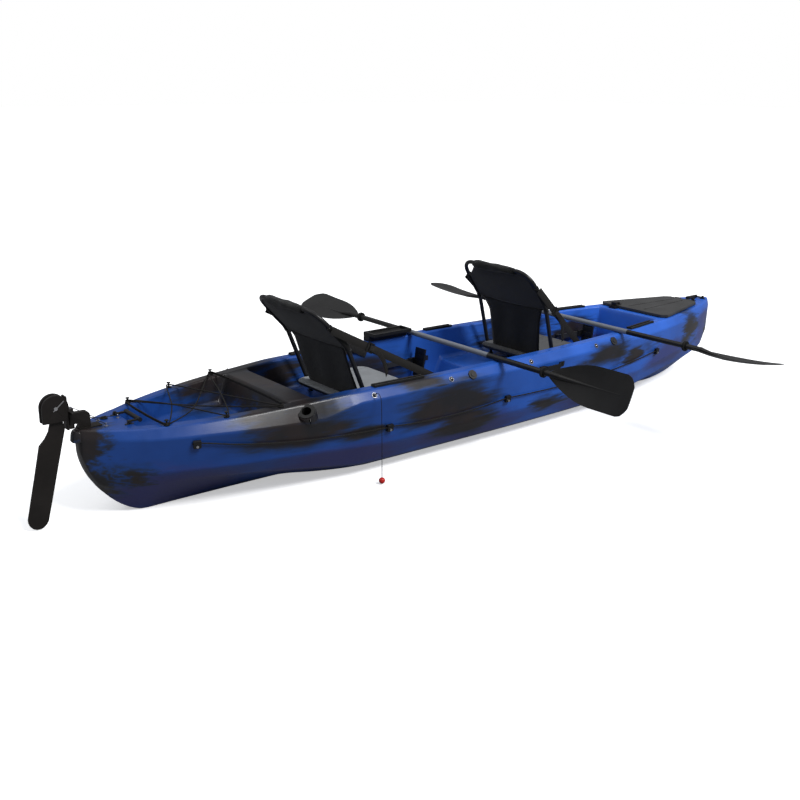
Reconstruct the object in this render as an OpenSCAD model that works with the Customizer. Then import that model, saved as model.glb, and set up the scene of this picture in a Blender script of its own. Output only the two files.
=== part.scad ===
// Tandem sit-on-top kayak with rudder, two frame seats and two paddles.
// X runs to the bow, Y to port and Z up; the keel rests on z = 0 amidships.

/* [Hull] */
// Overall length of the hull
hull_len = 4290; // [4190:10:4490]
// Beam across the shoulders
hull_beam = 860; // [830:5:900]
// Height of the flat gunwale above the keel
gunwale_z = 450; // [440:5:470]
// Height of the stern deck above the keel
stern_deck_z = 410; // [400:5:420]
// Wall of the moulded shell
hull_wall = 4; // [3:0.5:7]
// Width of the gunwale flat
gunwale_w = 62; // [58:1:68]
// Width of the stem at the stern end
stern_end_w = 76; // [70:1:90]
// Width of the stem at the bow end
bow_end_w = 44; // [40:1:60]
// Height of the tank well floor
tank_floor_z = 300; // [270:5:320]
// Height of the decks under the seats
seat_deck_z = 285; // [270:5:300]
// Height of the foot well floors
foot_floor_z = 165; // [150:5:180]
// Height of the bow hatch well floor
hatch_floor_z = 230; // [200:5:260]
// Bore of the scupper holes
scupper_d = 36; // [30:1:44]

/* [Bow hatch] */
// Thickness of the hatch lid
lid_t = 14; // [12:1:18]
// Thickness of the hatch seal
seal_t = 4; // [3:0.5:6]
// Diameter of the hatch hinge and latch pins
hatch_pin_d = 6; // [5:0.5:7]

/* [Deck fittings] */
// Length of the rear gear tracks
rear_track_len = 290; // [250:5:310]
// Length of the front gear tracks
front_track_len = 250; // [200:5:270]
// Height of the gear tracks
track_h = 12; // [10:1:16]
// Height of the raised rail block on the port gunwale
rail_block_h = 48; // [36:1:70]
// Width across the corners of the octagonal fitting plates
plate_d = 50; // [44:1:56]
// Inner diameter of the flush rod holders
rod_bore_d = 44; // [40:1:48]
// Depth of the flush rod holders
rod_depth = 190; // [160:5:200]
// Diameter of the bungee cord
bungee_d = 6; // [4:0.5:7]
// Diameter of the side grab lines
grab_d = 6; // [5:0.5:8]
// Diameter of the pull cord
pull_d = 3; // [2:0.5:4]
// Diameter of the ball on the pull cord
ball_d = 30; // [26:1:32]

/* [Rudder] */
// Thickness of the rudder blade
blade_t = 12; // [8:1:14]
// Diameter of the steering pin
steer_pin_d = 10; // [8:1:12]
// Diameter of the blade pin
blade_pin_d = 8; // [6:1:10]
// Clearance between the blade tip and the ground
blade_clear = 4; // [3:1:40]

/* [Seats] */
// Height of the seat tubes above the keel
seat_z = 345; // [335:1:360]
// Diameter of the seat frame tubes
tube_d = 22; // [19:1:25]
// Wall of the seat frame tubes
tube_wall = 1.8; // [1.2:0.2:3]
// Width between the centres of the seat side tubes
seat_w = 480; // [440:5:490]
// Depth of the seat frame
seat_depth = 410; // [380:5:420]
// Length of the seat back along its tubes from the pivot to the top tube
back_len = 560; // [530:5:580]
// Length of the seat back below its bend
back_bend_at = 290; // [270:5:310]
// Angle of the bend in the seat back
back_bend = 21; // [10:1:28]
// Recline of the rear seat back below its bend
rear_recline = 22; // [15:1:26]
// Recline of the front seat back below its bend
front_recline = 14; // [8:1:18]
// Thickness of the seat fabric
fabric_t = 5; // [4:0.5:7]
// Width of the seat straps
strap_w = 38; // [30:1:45]

/* [Foot braces] */
// Length of the foot brace rails
foot_rail_len = 290; // [270:5:300]
// Height of the foot pedals
pedal_h = 160; // [140:5:170]

/* [Paddles] */
// Overall length of each paddle
paddle_len = 2620; // [2500:10:2700]
// Diameter of the paddle shafts
shaft_d = 29; // [27:0.5:31]
// Length of the grey middle of the shaft
grey_len = 720; // [600:10:800]
// Length of a paddle blade
paddle_blade_len = 510; // [460:5:530]
// Width of a paddle blade
paddle_blade_w = 200; // [170:2:210]
// Turn of the rear paddle's port blade against its starboard one
rear_feather = 45; // [0:5:60]
// Turn of the front paddle's port blade against its starboard one
front_feather = 0; // [0:5:60]

/* [Hidden] */
$fn = 48;
// Gap between pieces that lie on each other without being joined
gap = 0.3;
// Radial clearance of pins in their bores
pin_gap = 0.05;
half_len = hull_len / 2;
sides = [1, -1];

// Places along the hull
stern_deck_len = 225;
stern_deck_end = -half_len + stern_deck_len;
tank_end = -1330;
ridge_start = -1270;
ridge_end = -1150;
rear_seat_deck_start = -1090;
rear_foot_start = -340;
rear_foot_end = 50;
front_seat_deck_start = 115;
front_foot_start = 905;
front_foot_end = 1300;
hatch_deck_start = 1355;
hatch_start = 1430;
bow_deck_len = 275;
hatch_end = half_len - bow_deck_len;
bulkhead_run = 60;
hatch_run = 15;
rear_seat_x = -820;
front_seat_x = 440;
rear_paddle_x = -78;
front_paddle_x = 900;
rear_paddle_y = 60;
front_paddle_y = -30;

// Lines of the hull against x
sheer_end = -1000;
shoulder_end = -950;
sheer_run = 240;
ridge_drop = 14;
bow_drop_run = 300;
rim_line = [[-half_len + sheer_run, stern_deck_z], [sheer_end, gunwale_z]];
drop_line = [
    [-half_len, 36], [-1700, 50], [ridge_end, 84], [shoulder_end, 45], [half_len - bow_drop_run, 45],
    [half_len, 34]
];
inset_line = [
    [-half_len, 12], [-1900, 30], [-1200, 34], [shoulder_end, 30], [1700, 26], [half_len, 8]
];
lower_chine_line = [
    [-half_len, 160], [-1700, 158], [-1450, 138], [-900, 62], [900, 62], [1500, 125], [half_len, 170]
];
upper_chine_line = [
    [-half_len, 214], [-1250, 202], [-800, 168], [800, 168], [1500, 215], [half_len, 250]
];
floor_line = [
    [-half_len, stern_deck_z],
    [stern_deck_end, stern_deck_z],
    [stern_deck_end + bulkhead_run, tank_floor_z],
    [tank_end, tank_floor_z],
    [ridge_start, gunwale_z - ridge_drop],
    [ridge_end, gunwale_z - ridge_drop],
    [rear_seat_deck_start, seat_deck_z],
    [rear_foot_start - bulkhead_run, seat_deck_z],
    [rear_foot_start, foot_floor_z],
    [rear_foot_end, foot_floor_z],
    [front_seat_deck_start, seat_deck_z],
    [front_foot_start - bulkhead_run, seat_deck_z],
    [front_foot_start, foot_floor_z],
    [front_foot_end, foot_floor_z],
    [hatch_deck_start, gunwale_z],
    [hatch_start, gunwale_z],
    [hatch_start + hatch_run, hatch_floor_z],
    [hatch_end - hatch_run, hatch_floor_z],
    [hatch_end, gunwale_z],
    [half_len, gunwale_z]
];
lower_chine_share = 0.75;
upper_chine_share = 0.9;
stern_fullness = 4;
stern_taper = 0.75;
bow_fullness = 2;
bow_taper = 0.65;
stem_power = 1.7;
stern_run = 265;
bow_run = 640;
stem_top_z = 330;
keel_half_w = 50;
tunnel_h = 18;
aft_flat_end = 1250;
fore_flat_end = 1400;
flat_run = 450;
edge_r = 8;
well_lean = 0.12;
well_corner = 18;
well_step = 4;
wall_blend = 40;
panel_min = 8;

function unit(v) = v / norm(v);
function clamp01(v) = max(0, min(1, v));
function mix(a, b, k) = a + (b - a) * k;
function rim_z(x) = lookup(x, rim_line);
function floor_z(x) = lookup(x, floor_line);

// Half breadth at the shoulder
function shoulder_y(x) =
    let (t = min(1, abs(x) / half_len))
    let (p = x < 0 ? stern_fullness : bow_fullness)
    let (q = x < 0 ? stern_taper : bow_taper)
    let (e = t * (x < 0 ? stern_end_w : bow_end_w) / 2)
    norm([hull_beam / 2 * pow(1 - pow(t, p), q), e]);

// Height of the keel, with the curve of each stem
function keel_z(x) =
    let (run = x < 0 ? stern_run : bow_run)
    let (t = clamp01((abs(x) - half_len + run) / run))
    stem_top_z * (1 - pow(1 - pow(t, stem_power), 1 / stem_power));

function shoulder_z(x) = max(rim_z(x) - lookup(x, drop_line), keel_z(x) + 3 * panel_min);
function upper_chine_z(x) =
    min(max(lookup(x, upper_chine_line), keel_z(x) + 2 * panel_min), shoulder_z(x) - panel_min);
function lower_chine_z(x) =
    min(max(lookup(x, lower_chine_line), keel_z(x) + panel_min), upper_chine_z(x) - panel_min);
function rim_y(x) = shoulder_y(x) - lookup(x, inset_line);
function edge_at(x) = min(edge_r, 0.15 * rim_y(x));
function well_y(x) = max(rim_y(x) - gunwale_w, 0.35 * rim_y(x));
function well_foot_y(x, zf) = well_y(x) - well_step - well_lean * max(0, rim_z(x) - zf);

// Height of the bottom between keel and lower chine, with a tunnel and runner amidships
function bottom_z(x, y, flat_z) =
    let (w = lower_chine_share * shoulder_y(x))
    let (k = min(keel_half_w, 0.3 * w))
    let (vee = mix(keel_z(x), lower_chine_z(x), (y - k) / (w - k)))
    mix(vee, keel_z(x) + flat_z, clamp01(((x < 0 ? aft_flat_end : fore_flat_end) - abs(x)) / flat_run));

// Port half of the cross-section from the keel round to the deck centre, set in by t
function half_section(x, t, zf) =
    let (w = shoulder_y(x), zg = rim_z(x), wg = rim_y(x), wi = well_y(x), e = edge_at(x))
    let (k = clamp01((zg - zf) / wall_blend), wf = well_foot_y(x, zf))
    let (c = min(well_corner, 0.2 * wf))
    [
        [0, keel_z(x) + t],
        [min(keel_half_w, 0.3 * lower_chine_share * w), keel_z(x) + t],
        [0.24 * w, bottom_z(x, 0.24 * w, tunnel_h) + t],
        [0.34 * w, bottom_z(x, 0.34 * w, 0) + t],
        [0.46 * w, bottom_z(x, 0.46 * w, 0) + t],
        [lower_chine_share * w - t, lower_chine_z(x) + 0.7 * t],
        [upper_chine_share * w - t, upper_chine_z(x) + 0.3 * t],
        [w - t, shoulder_z(x)],
        [wg - t, zg - 0.75 * e - t],
        [wg - e - t, zg - t],
        [wi + e + t, zg - t],
        [wi + t, zg - 0.75 * e * k - t],
        [wf + t, zf + c * k - t],
        [wf - c + t, zf - t],
        [0, zf - t]
    ];

function ring(half) = concat(half, [for (i = [len(half) - 2:-1:1]) [-half[i][0], half[i][1]]]);
function sorted(v) =
    len(v) < 2 ? v :
    let (m = v[floor(len(v) / 2)])
    concat(sorted([for (a = v) if (a < m) a]), [m], sorted([for (a = v) if (a > m) a]));
function apart(v, marks, d) = [for (a = v) if (min([for (b = marks) abs(a - b)]) > d) a];

// Stations, closer together at the two stems
even_stations = [for (i = [0:40]) -half_len * cos(4.5 * i)];
breaks = concat([for (p = floor_line) p[0]], [sheer_end, shoulder_end]);
stations = sorted(concat(breaks, apart(even_stations, breaks, 3 * hull_wall)));
stern_solid = 90;
bow_solid = 95;
void_start = -half_len + stern_solid;
void_end = half_len - bow_solid;
void_breaks = [
    for (b = breaks) for (d = [-hull_wall, hull_wall])
        if (b + d > void_start && b + d < void_end) b + d
];
void_even = [for (x = even_stations) if (x > void_start && x < void_end) x];
void_marks = concat(void_breaks, [void_start, void_end]);
void_stations = sorted(concat(void_marks, apart(void_even, void_marks, 3.5 * hull_wall)));
function void_floor_z(x) = min([for (d = [-hull_wall, 0, hull_wall]) floor_z(x + d)]);

// Closed skin over rings of points, mirrored about the centreline
module loft(rings) {
    m = len(rings[0]);
    n = len(rings);
    h = m / 2;
    points = [for (r = rings) each r];
    skin = [
        for (i = [0:n - 2]) for (j = [0:m - 1])
            let (a = i * m + j, b = a + m, c = (i + 1) * m + (j + 1) % m, d = i * m + (j + 1) % m)
            each (j < h ? [[a, b, c], [a, c, d]] : [[a, b, d], [b, c, d]])
    ];
    caps = [
        for (k = [1:m - 2]) [0, k, k + 1],
        for (k = [1:m - 2]) let (o = (n - 1) * m) [o + k + 1, o + k, o]
    ];
    polyhedron(points, concat(skin, caps));
}

function at_x(x, section) = [for (p = ring(section)) [x, p[0], p[1]]];

// Tube of given radius along points, with rings square to the route
module cord(route, r, count, up, closed = false) {
    n = len(route);
    function after(i) = closed ? route[(i + 1) % n] : route[min(i + 1, n - 1)];
    function before(i) = closed ? route[(i + n - 1) % n] : route[max(i - 1, 0)];
    rings = [
        for (i = [0:n - 1])
            let (t = unit(after(i) - before(i)), u = unit(cross(t, up)), v = cross(t, u))
            [for (j = [0:count - 1]) route[i] + r * (u * cos(360 * j / count) + v * sin(360 * j / count))]
    ];
    skin = [
        for (i = [0:closed ? n - 1 : n - 2]) for (j = [0:count - 1])
            let (a = i * count + j, d = i * count + (j + 1) % count)
            let (b = ((i + 1) % n) * count + j, c = ((i + 1) % n) * count + (j + 1) % count)
            each [[a, b, c], [a, c, d]]
    ];
    ends = closed ? [] : [
        [for (j = [0:count - 1]) j],
        [for (j = [count - 1:-1:0]) (n - 1) * count + j]
    ];
    polyhedron([for (r = rings) each r], concat(skin, ends));
}

// Places on the hull side: height z on the panel between upper chine and shoulder
function side_y(x, z) =
    mix(upper_chine_share * shoulder_y(x), shoulder_y(x),
        (z - upper_chine_z(x)) / (shoulder_z(x) - upper_chine_z(x)));
function side_turn(x, z) = atan2(side_y(x + 15, z) - side_y(x - 15, z), 30);
function side_lean(x) =
    atan2((1 - upper_chine_share) * shoulder_y(x), shoulder_z(x) - upper_chine_z(x));
function edge_z(x) = rim_z(x) - 0.75 * edge_at(x);
function shoulder_mid(x) = [(shoulder_y(x) + rim_y(x)) / 2, (shoulder_z(x) + edge_z(x)) / 2];
function shoulder_lean(x) = atan2(shoulder_y(x) - rim_y(x), edge_z(x) - shoulder_z(x));

// Children stand on the hull side: local X along the hull, local Z square out from it
module on_side(x, z, s) {
    mirror([0, s < 0 ? 1 : 0, 0])
        translate([x, side_y(x, z), z])
            rotate([0, 0, side_turn(x, z)])
                rotate([-90 - side_lean(x), 0, 0])
                    translate([0, 0, gap]) children();
}

// Children stand on the sloping shoulder in the same way
module on_shoulder(x, s) {
    mirror([0, s < 0 ? 1 : 0, 0])
        translate([x, shoulder_mid(x)[0], shoulder_mid(x)[1]])
            rotate([0, 0, atan2(shoulder_y(x + 15) - shoulder_y(x - 15), 30)])
                rotate([-90 + shoulder_lean(x), 0, 0])
                    translate([0, 0, gap]) children();
}

// Hull
scupper_x = [-150, 940];
scupper_share = 0.4;
scupper_wall = 5;
rod_x = -1235;
rod_axis_turn = [24, -30];
rod_wall = 4;
rod_flange_w = 12;
rod_flange_t = 5;
rod_flange_d = rod_bore_d + 2 * (rod_wall + rod_flange_w);
rod_boss_wall = 5;
rod_boss_h = 16;
rod_boss_depth = 55;
drain_x = -half_len + 150;
drain_y = 62;
drain_d = 20;
drain_flange_w = 7;
drain_flange_t = 5;
drain_depth = 16;
drain_tab = [22, 4, 7];
stern_cap_z = 354;
stern_cap_in = 13;
stern_cap_lean = 8;
stern_cap_drop = 6;
cut_over = 30;

module at_rod(s) {
    mirror([0, s < 0 ? 1 : 0, 0])
        translate([rod_x, shoulder_mid(rod_x)[0], shoulder_mid(rod_x)[1]])
            rotate([-rod_axis_turn[0], rod_axis_turn[1], 0]) children();
}

module hull_shell() {
    difference() {
        loft([for (x = stations) at_x(x, half_section(x, 0, floor_z(x)))]);
        loft([for (x = void_stations) at_x(x, half_section(x, hull_wall, void_floor_z(x)))]);
    }
}

module at_scuppers() {
    for (x = scupper_x) for (s = sides) translate([x, s * scupper_share * shoulder_y(x), 0]) children();
}

// Rounded cap that closes the stern below the deck
module stern_cap() {
    r = stern_end_w / 2;
    translate([-half_len + stern_cap_in, 0, stern_cap_z])
        cylinder(r1 = r, r2 = r - stern_cap_lean, h = stern_deck_z - stern_cap_drop - stern_cap_z);
}

module hull() {
    color("royalblue") difference() {
        union() {
            hull_shell();
            stern_cap();
            at_scuppers() translate([0, 0, hull_wall / 2])
                cylinder(d = scupper_d + 2 * scupper_wall, h = foot_floor_z - hull_wall);
            for (s = sides) at_rod(s) translate([0, 0, -rod_boss_depth])
                cylinder(d = rod_flange_d + 2 * rod_boss_wall, h = rod_boss_depth + rod_boss_h);
        }
        at_scuppers() translate([0, 0, -cut_over])
            cylinder(d = scupper_d, h = foot_floor_z + 2 * cut_over);
        for (s = sides) at_rod(s) {
            translate([0, 0, -rod_depth]) cylinder(d = rod_bore_d + 2 * (rod_wall + gap), h = 2 * rod_depth);
            translate([0, 0, rod_boss_h]) cylinder(d = rod_flange_d + 2 * gap, h = rod_depth);
        }
        translate([drain_x, drain_y, stern_deck_z - cut_over])
            cylinder(d = drain_d + 2 * gap, h = 2 * cut_over);
    }
}

module drain_plug() {
    color("black") translate([drain_x, drain_y, stern_deck_z]) {
        translate([0, 0, gap]) cylinder(d = drain_d + 2 * drain_flange_w, h = drain_flange_t);
        translate([0, 0, -drain_depth]) cylinder(d = drain_d, h = drain_depth + 2);
        translate([-drain_tab[0] / 2, -drain_tab[1] / 2, drain_flange_t - 1]) cube(drain_tab);
    }
}

// Bow hatch
lid_rear_lap = 35;
lid_bow_lap = 30;
lid_start = hatch_start - lid_rear_lap;
lid_end = hatch_end + lid_bow_lap;
lid_lap = 46;
lid_corner = 30;
groove_w = 10;
groove_depth = 4;
groove_y = 62;
groove_end = 45;
groove_turn = 4;
seal_in = 10;
seal_bow_in = 6;
seal_lap = 22;
seal_w = 14;
seal_corner = 16;
lid_z = gunwale_z + seal_t + gap;
hinge_out = 13;
hinge_x = lid_end + hinge_out;
hinge_z = lid_z + lid_t / 2;
knuckle_r = 8;
knuckle_len = 24;
hinge_y = 45;
knuckle_root = 6;
hinge_foot = [34, 5];
lug_t = 8;
latch_y = 130;
latch_in = 24;
latch_lift = 11;
latch_x = lid_start + latch_in;
latch_z = lid_z + lid_t + latch_lift;
latch_w = 34;
latch_r = 8;
latch_lug_t = 6;
latch_over = 16;
latch_t = 9;
claw_clear = 6;
keeper_wall = 7;
keeper_floor = 3;
keeper_h = 18;
keeper_over = 2;

// Four-sided outline that follows the well, with cut corners
function hatch_outline(x0, x1, lap, c) =
    let (a = well_y(x0) + lap, b = well_y(x1) + lap)
    let (half = [[x0, a - c], [x0 + c, a], [x1 - c, b], [x1, b - c]])
    concat(half, [for (i = [3:-1:0]) [half[i][0], -half[i][1]]]);

module hinge_bore(len) {
    rotate([90, 0, 0]) cylinder(d = hatch_pin_d + 2 * pin_gap, h = len, center = true);
}

module hatch_lid() {
    color("dimgray") difference() {
        union() {
            translate([0, 0, lid_z]) linear_extrude(lid_t)
                polygon(hatch_outline(lid_start, lid_end, lid_lap, lid_corner));
            for (s = sides) {
                translate([hinge_x, s * hinge_y, hinge_z])
                    rotate([90, 0, 0]) cylinder(r = knuckle_r, h = knuckle_len, center = true);
                translate([lid_end - knuckle_root, s * hinge_y - knuckle_len / 2, lid_z + 1])
                    cube([hinge_out + knuckle_root, knuckle_len, lid_t - 2]);
                translate([latch_x, latch_y + s * (latch_w / 2 + gap + latch_lug_t / 2), 0]) {
                    translate([-latch_r, -latch_lug_t / 2, lid_z + lid_t - 2])
                        cube([2 * latch_r, latch_lug_t, latch_lift + 2]);
                    translate([0, 0, latch_z])
                        rotate([90, 0, 0]) cylinder(r = latch_r, h = latch_lug_t, center = true);
                }
            }
        }
        translate([hinge_x, 0, hinge_z]) hinge_bore(4 * hinge_y);
        translate([latch_x, latch_y, latch_z]) hinge_bore(2 * latch_w);
        for (s = sides)
            translate([lid_start + groove_end, s * groove_y, lid_z + lid_t - groove_depth])
                rotate([0, 0, -s * groove_turn]) translate([0, -groove_w / 2, 0])
                    cube([lid_end - lid_start - 2 * groove_end, groove_w, groove_depth + 1]);
    }
}

module hatch_seal() {
    color("black") translate([0, 0, gunwale_z]) linear_extrude(seal_t) difference() {
        polygon(hatch_outline(hatch_start - seal_in - seal_w, hatch_end + seal_bow_in + seal_w,
            seal_lap + seal_w, seal_corner + 4));
        polygon(hatch_outline(hatch_start - seal_in, hatch_end + seal_bow_in, seal_lap, seal_corner));
    }
}

module hatch_hinge_brackets() {
    color("black") for (s = sides) for (e = sides)
        translate([hinge_x, s * hinge_y + e * (knuckle_len / 2 + gap + lug_t / 2), 0]) difference() {
            union() {
                translate([0, 0, hinge_z]) rotate([90, 0, 0])
                    cylinder(r = knuckle_r, h = lug_t, center = true);
                translate([-knuckle_r, -lug_t / 2, gunwale_z])
                    cube([2 * knuckle_r, lug_t, hinge_z - gunwale_z]);
                translate([-knuckle_r, -lug_t / 2, gunwale_z]) cube([hinge_foot[0], lug_t, hinge_foot[1]]);
            }
            translate([0, 0, hinge_z]) hinge_bore(lug_t + 2);
        }
}

module hatch_hinge_pin() {
    color("silver") translate([hinge_x, 0, hinge_z])
        rotate([90, 0, 0])
            cylinder(d = hatch_pin_d, h = 2 * (hinge_y + knuckle_len / 2 + lug_t + 3), center = true);
}

module hatch_latch() {
    color("black") difference() {
        union() {
            translate([latch_x, latch_y, latch_z]) rotate([90, 0, 0])
                cylinder(r = latch_r, h = latch_w, center = true);
            translate([lid_start - latch_over, latch_y - latch_w / 2, latch_z - 1])
                cube([latch_in + latch_over, latch_w, latch_t]);
            translate([lid_start - latch_over, latch_y - latch_w / 2, gunwale_z + claw_clear])
                cube([latch_t, latch_w, latch_z - gunwale_z]);
        }
        translate([latch_x, latch_y, latch_z]) hinge_bore(latch_w + 2);
    }
}

module hatch_latch_pin() {
    color("silver") translate([latch_x, latch_y, latch_z])
        rotate([90, 0, 0])
            cylinder(d = hatch_pin_d, h = latch_w + 2 * (gap + latch_lug_t + 2), center = true);
}

// Socket for the latch's claw, open far enough aft for the claw's lower edge to swing out
claw_swing = norm([latch_in + latch_over, latch_z - gunwale_z - claw_clear]);
keeper_rear = latch_x - claw_swing - 1;

module hatch_keeper() {
    w = latch_w + 2;
    color("black") translate([keeper_rear - keeper_wall, latch_y - w / 2, gunwale_z]) difference() {
        translate([0, -keeper_wall, 0])
            cube([lid_start - keeper_over - keeper_rear + keeper_wall, w + 2 * keeper_wall, keeper_h]);
        translate([keeper_wall, 0, keeper_floor]) cube([claw_swing, w, keeper_h]);
    }
}

// Carry handles: a grip on two arms that turn in saddles
handle_pin_d = 8;
handle_reach = 50;
grip_d = 20;
handle_lift = grip_d / 2 + gap;
bail_arm_h = 8;
saddle_r = 9;
saddle_foot = [40, 4];
arm_w = 10;
saddle_t = 10;
stern_handle_span = 130;
bow_handle_span = 80;
bow_handle_in = 118;
bow_handle_y = -26;
stern_handle_in = 18;
bow_handle_x = half_len - bow_handle_in;
stern_handle_x = stern_deck_end - stern_handle_in;

module bail(span) {
    translate([handle_reach, 0, 0]) rotate([90, 0, 0])
        cylinder(d = grip_d, h = span + 2 * arm_w, center = true);
    for (s = sides) {
        translate([0, s * span / 2 - arm_w / 2, -bail_arm_h / 2]) cube([handle_reach, arm_w, bail_arm_h]);
        translate([0, s * (span / 2 + saddle_t / 2 + 2), 0])
            rotate([90, 0, 0]) cylinder(d = handle_pin_d, h = saddle_t + 2 * arm_w, center = true);
    }
}

module saddle_pair(span) {
    for (s = sides) translate([0, s * (span / 2 + arm_w / 2 + saddle_t / 2 + 1), 0]) difference() {
        union() {
            translate([-saddle_r, -saddle_t / 2, -handle_lift])
                cube([2 * saddle_r, saddle_t, handle_lift]);
            translate([-saddle_foot[0] / 2, -saddle_t / 2, -handle_lift])
                cube([saddle_foot[0], saddle_t, saddle_foot[1]]);
            rotate([90, 0, 0]) cylinder(r = saddle_r, h = saddle_t, center = true);
        }
        rotate([90, 0, 0]) cylinder(d = handle_pin_d + 2 * pin_gap, h = 2 * saddle_t, center = true);
    }
}

module at_bow_handle() {
    translate([bow_handle_x, bow_handle_y, gunwale_z + handle_lift]) rotate([0, 0, 90]) children();
}

module at_stern_handle() {
    translate([stern_handle_x, 0, stern_deck_z + handle_lift]) children();
}

module bow_handle() {
    color("black") at_bow_handle() bail(bow_handle_span);
}

module stern_handle() {
    color("black") at_stern_handle() bail(stern_handle_span);
}

module handle_saddles() {
    color("black") {
        at_stern_handle() saddle_pair(stern_handle_span);
        at_bow_handle() saddle_pair(bow_handle_span);
    }
}

// Tank well lacing: a loop of cord round six studs
hook_x = [-1824, -1583, -1339];
hook_stem_d = 8;
hook_cap_d = 18;
hook_h = 24;
hook_in = 20;
lacing_lift = 12;
hook_base_d = 26;
hook_plate_t = 4;
hook_foot = 1.2;
wrap_r = hook_stem_d / 2 + bungee_d / 2 + 1.7;
crossing_lift = bungee_d / 2 + 1;

function hook_at(i, s) = [hook_x[i], s * (rim_y(hook_x[i]) - hook_in), rim_z(hook_x[i]) + gap];

module deck_hooks() {
    color("black") for (i = [0:len(hook_x) - 1]) for (s = sides) translate(hook_at(i, s)) {
        translate([0, 0, hook_foot]) cylinder(d = hook_base_d, h = hook_plate_t);
        translate([0, 0, hook_foot]) cylinder(d = hook_stem_d, h = hook_h);
        translate([0, 0, hook_h - hook_plate_t / 2]) cylinder(d = hook_cap_d, h = hook_plate_t);
    }
}

// Points round a stud on its outer side, from the run that comes in to the run that leaves
function wrap(i, s, first, last) = [
    for (a = [first, (first + last) / 2, last])
        hook_at(i, s) + [wrap_r * sin(a), s * wrap_r * cos(a), lacing_lift]
];
function crossing(i, lift) = [
    (hook_x[i] + hook_x[i + 1]) / 2,
    0,
    (rim_z(hook_x[i]) + rim_z(hook_x[i + 1])) / 2 + gap + lacing_lift + lift
];
lacing = concat(
    wrap(0, -1, 70, -70),
    wrap(0, 1, -70, 70),
    [crossing(0, crossing_lift)],
    wrap(1, -1, -50, 50),
    [crossing(1, crossing_lift)],
    wrap(2, 1, -70, 70),
    wrap(2, -1, 70, -70),
    [crossing(1, -crossing_lift)],
    wrap(1, 1, 50, -50),
    [crossing(0, -crossing_lift)]
);

module bungee_lacing() {
    color("black") cord(lacing, bungee_d / 2, 8, [0, 0, 1], true);
}

// Grab lines along the sides, held by bolted clips
clip_spots = [[-1730, 340], [-793, 254], [-36, 258], [1270, 286]];
clip_len = 34;
clip_w = 26;
clip_h = 16;
bolt_d = 8;
bolt_head_d = 12;
line_out = 9;
line_sag = 22;
line_steps = 6;

// Point on the line, out from the hull side
function off_side(x, z, s) = let (y = side_y(x, z) + line_out / cos(side_lean(x))) [x, s * y, z];
function clip_run(i, s) = [
    for (e = sides)
        let (p = clip_spots[i], a = side_turn(p[0], p[1]), q = side_y(p[0], p[1]))
        let (n = [-sin(a) * cos(side_lean(p[0])), cos(a) * cos(side_lean(p[0])), -sin(side_lean(p[0]))])
        let (c = [p[0], q, p[1]] + (gap + line_out) * n - e * (clip_len / 2 + 4) * [cos(a), sin(a), 0])
        [c[0], s * c[1], c[2]]
];
function span_run(i, s) = [
    for (k = [1:line_steps - 1])
        let (t = k / line_steps, a = clip_spots[i], b = clip_spots[i + 1])
        off_side(mix(a[0], b[0], t), mix(a[1], b[1], t) - 4 * line_sag * t * (1 - t), s)
];
function grab_route(s) = [
    for (i = [0:len(clip_spots) - 1])
        each concat(clip_run(i, s), i < len(clip_spots) - 1 ? span_run(i, s) : [])
];

module grab_line(s) {
    color("black") cord(grab_route(s), grab_d / 2, 8, [0, 0, 1]);
}

module grab_line_port() {
    grab_line(1);
}

module grab_line_starboard() {
    grab_line(-1);
}

module grab_line_clips() {
    color("black") for (p = clip_spots) for (s = sides) on_side(p[0], p[1], s) difference() {
        translate([-clip_len / 2, -clip_w / 2, 0]) cube([clip_len, clip_w + 8, clip_h]);
        translate([-clip_len, 0, line_out]) rotate([0, 90, 0]) cylinder(d = grab_d + 2, h = 2 * clip_len);
        translate([0, clip_w / 2 - 2, -1]) cylinder(d = bolt_d + 2 * gap, h = clip_h + 2);
    }
}

module clip_bolts() {
    color("silver") for (p = clip_spots) for (s = sides)
        on_side(p[0], p[1], s) translate([0, clip_w / 2 - 2, 0]) {
            translate([0, 0, 0.5]) cylinder(d = bolt_d, h = clip_h);
            translate([0, 0, clip_h + 0.1]) cylinder(d = bolt_head_d, h = 4);
        }
}

// Gear tracks with a slot for sliding fittings
track_w = 34;
slot_w = 20;
slot_mouth_w = 10;
track_floor = 3;
track_lip = 3;
rear_track_x = -860;
front_track_x = 1010;
mid_track_x = 45;
mid_track_len = 190;

module track(x, len, s) {
    h = track_h;
    profile = [
        [-track_w / 2, 0], [track_w / 2, 0], [track_w / 2, h], [slot_mouth_w / 2, h],
        [slot_mouth_w / 2, h - track_lip], [slot_w / 2, h - track_lip], [slot_w / 2, track_floor],
        [-slot_w / 2, track_floor], [-slot_w / 2, h - track_lip], [-slot_mouth_w / 2, h - track_lip],
        [-slot_mouth_w / 2, h], [-track_w / 2, h]
    ];
    a = (rim_y(x) + well_y(x)) / 2;
    b = (rim_y(x + len) + well_y(x + len)) / 2;
    translate([x, s * a, gunwale_z]) rotate([0, 0, s * atan2(b - a, len)])
        rotate([90, 0, 90]) linear_extrude(len) polygon(profile);
}

module gear_tracks_port() {
    color("black") {
        track(rear_track_x, rear_track_len, 1);
        track(mid_track_x, mid_track_len, 1);
        track(front_track_x, front_track_len, 1);
    }
}

module gear_tracks_starboard() {
    color("black") {
        track(rear_track_x, rear_track_len, -1);
        track(front_track_x, front_track_len, -1);
    }
}

// Raised rail block on the port gunwale: a plate with a pocket, which stands out over the well
block_start = -365;
block_len = 260;
block_w = 54;
block_over = 44;
block_plate_t = 18;
block_end_wall = 14;
block_side_wall = 12;
block_pocket = 12;

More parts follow.
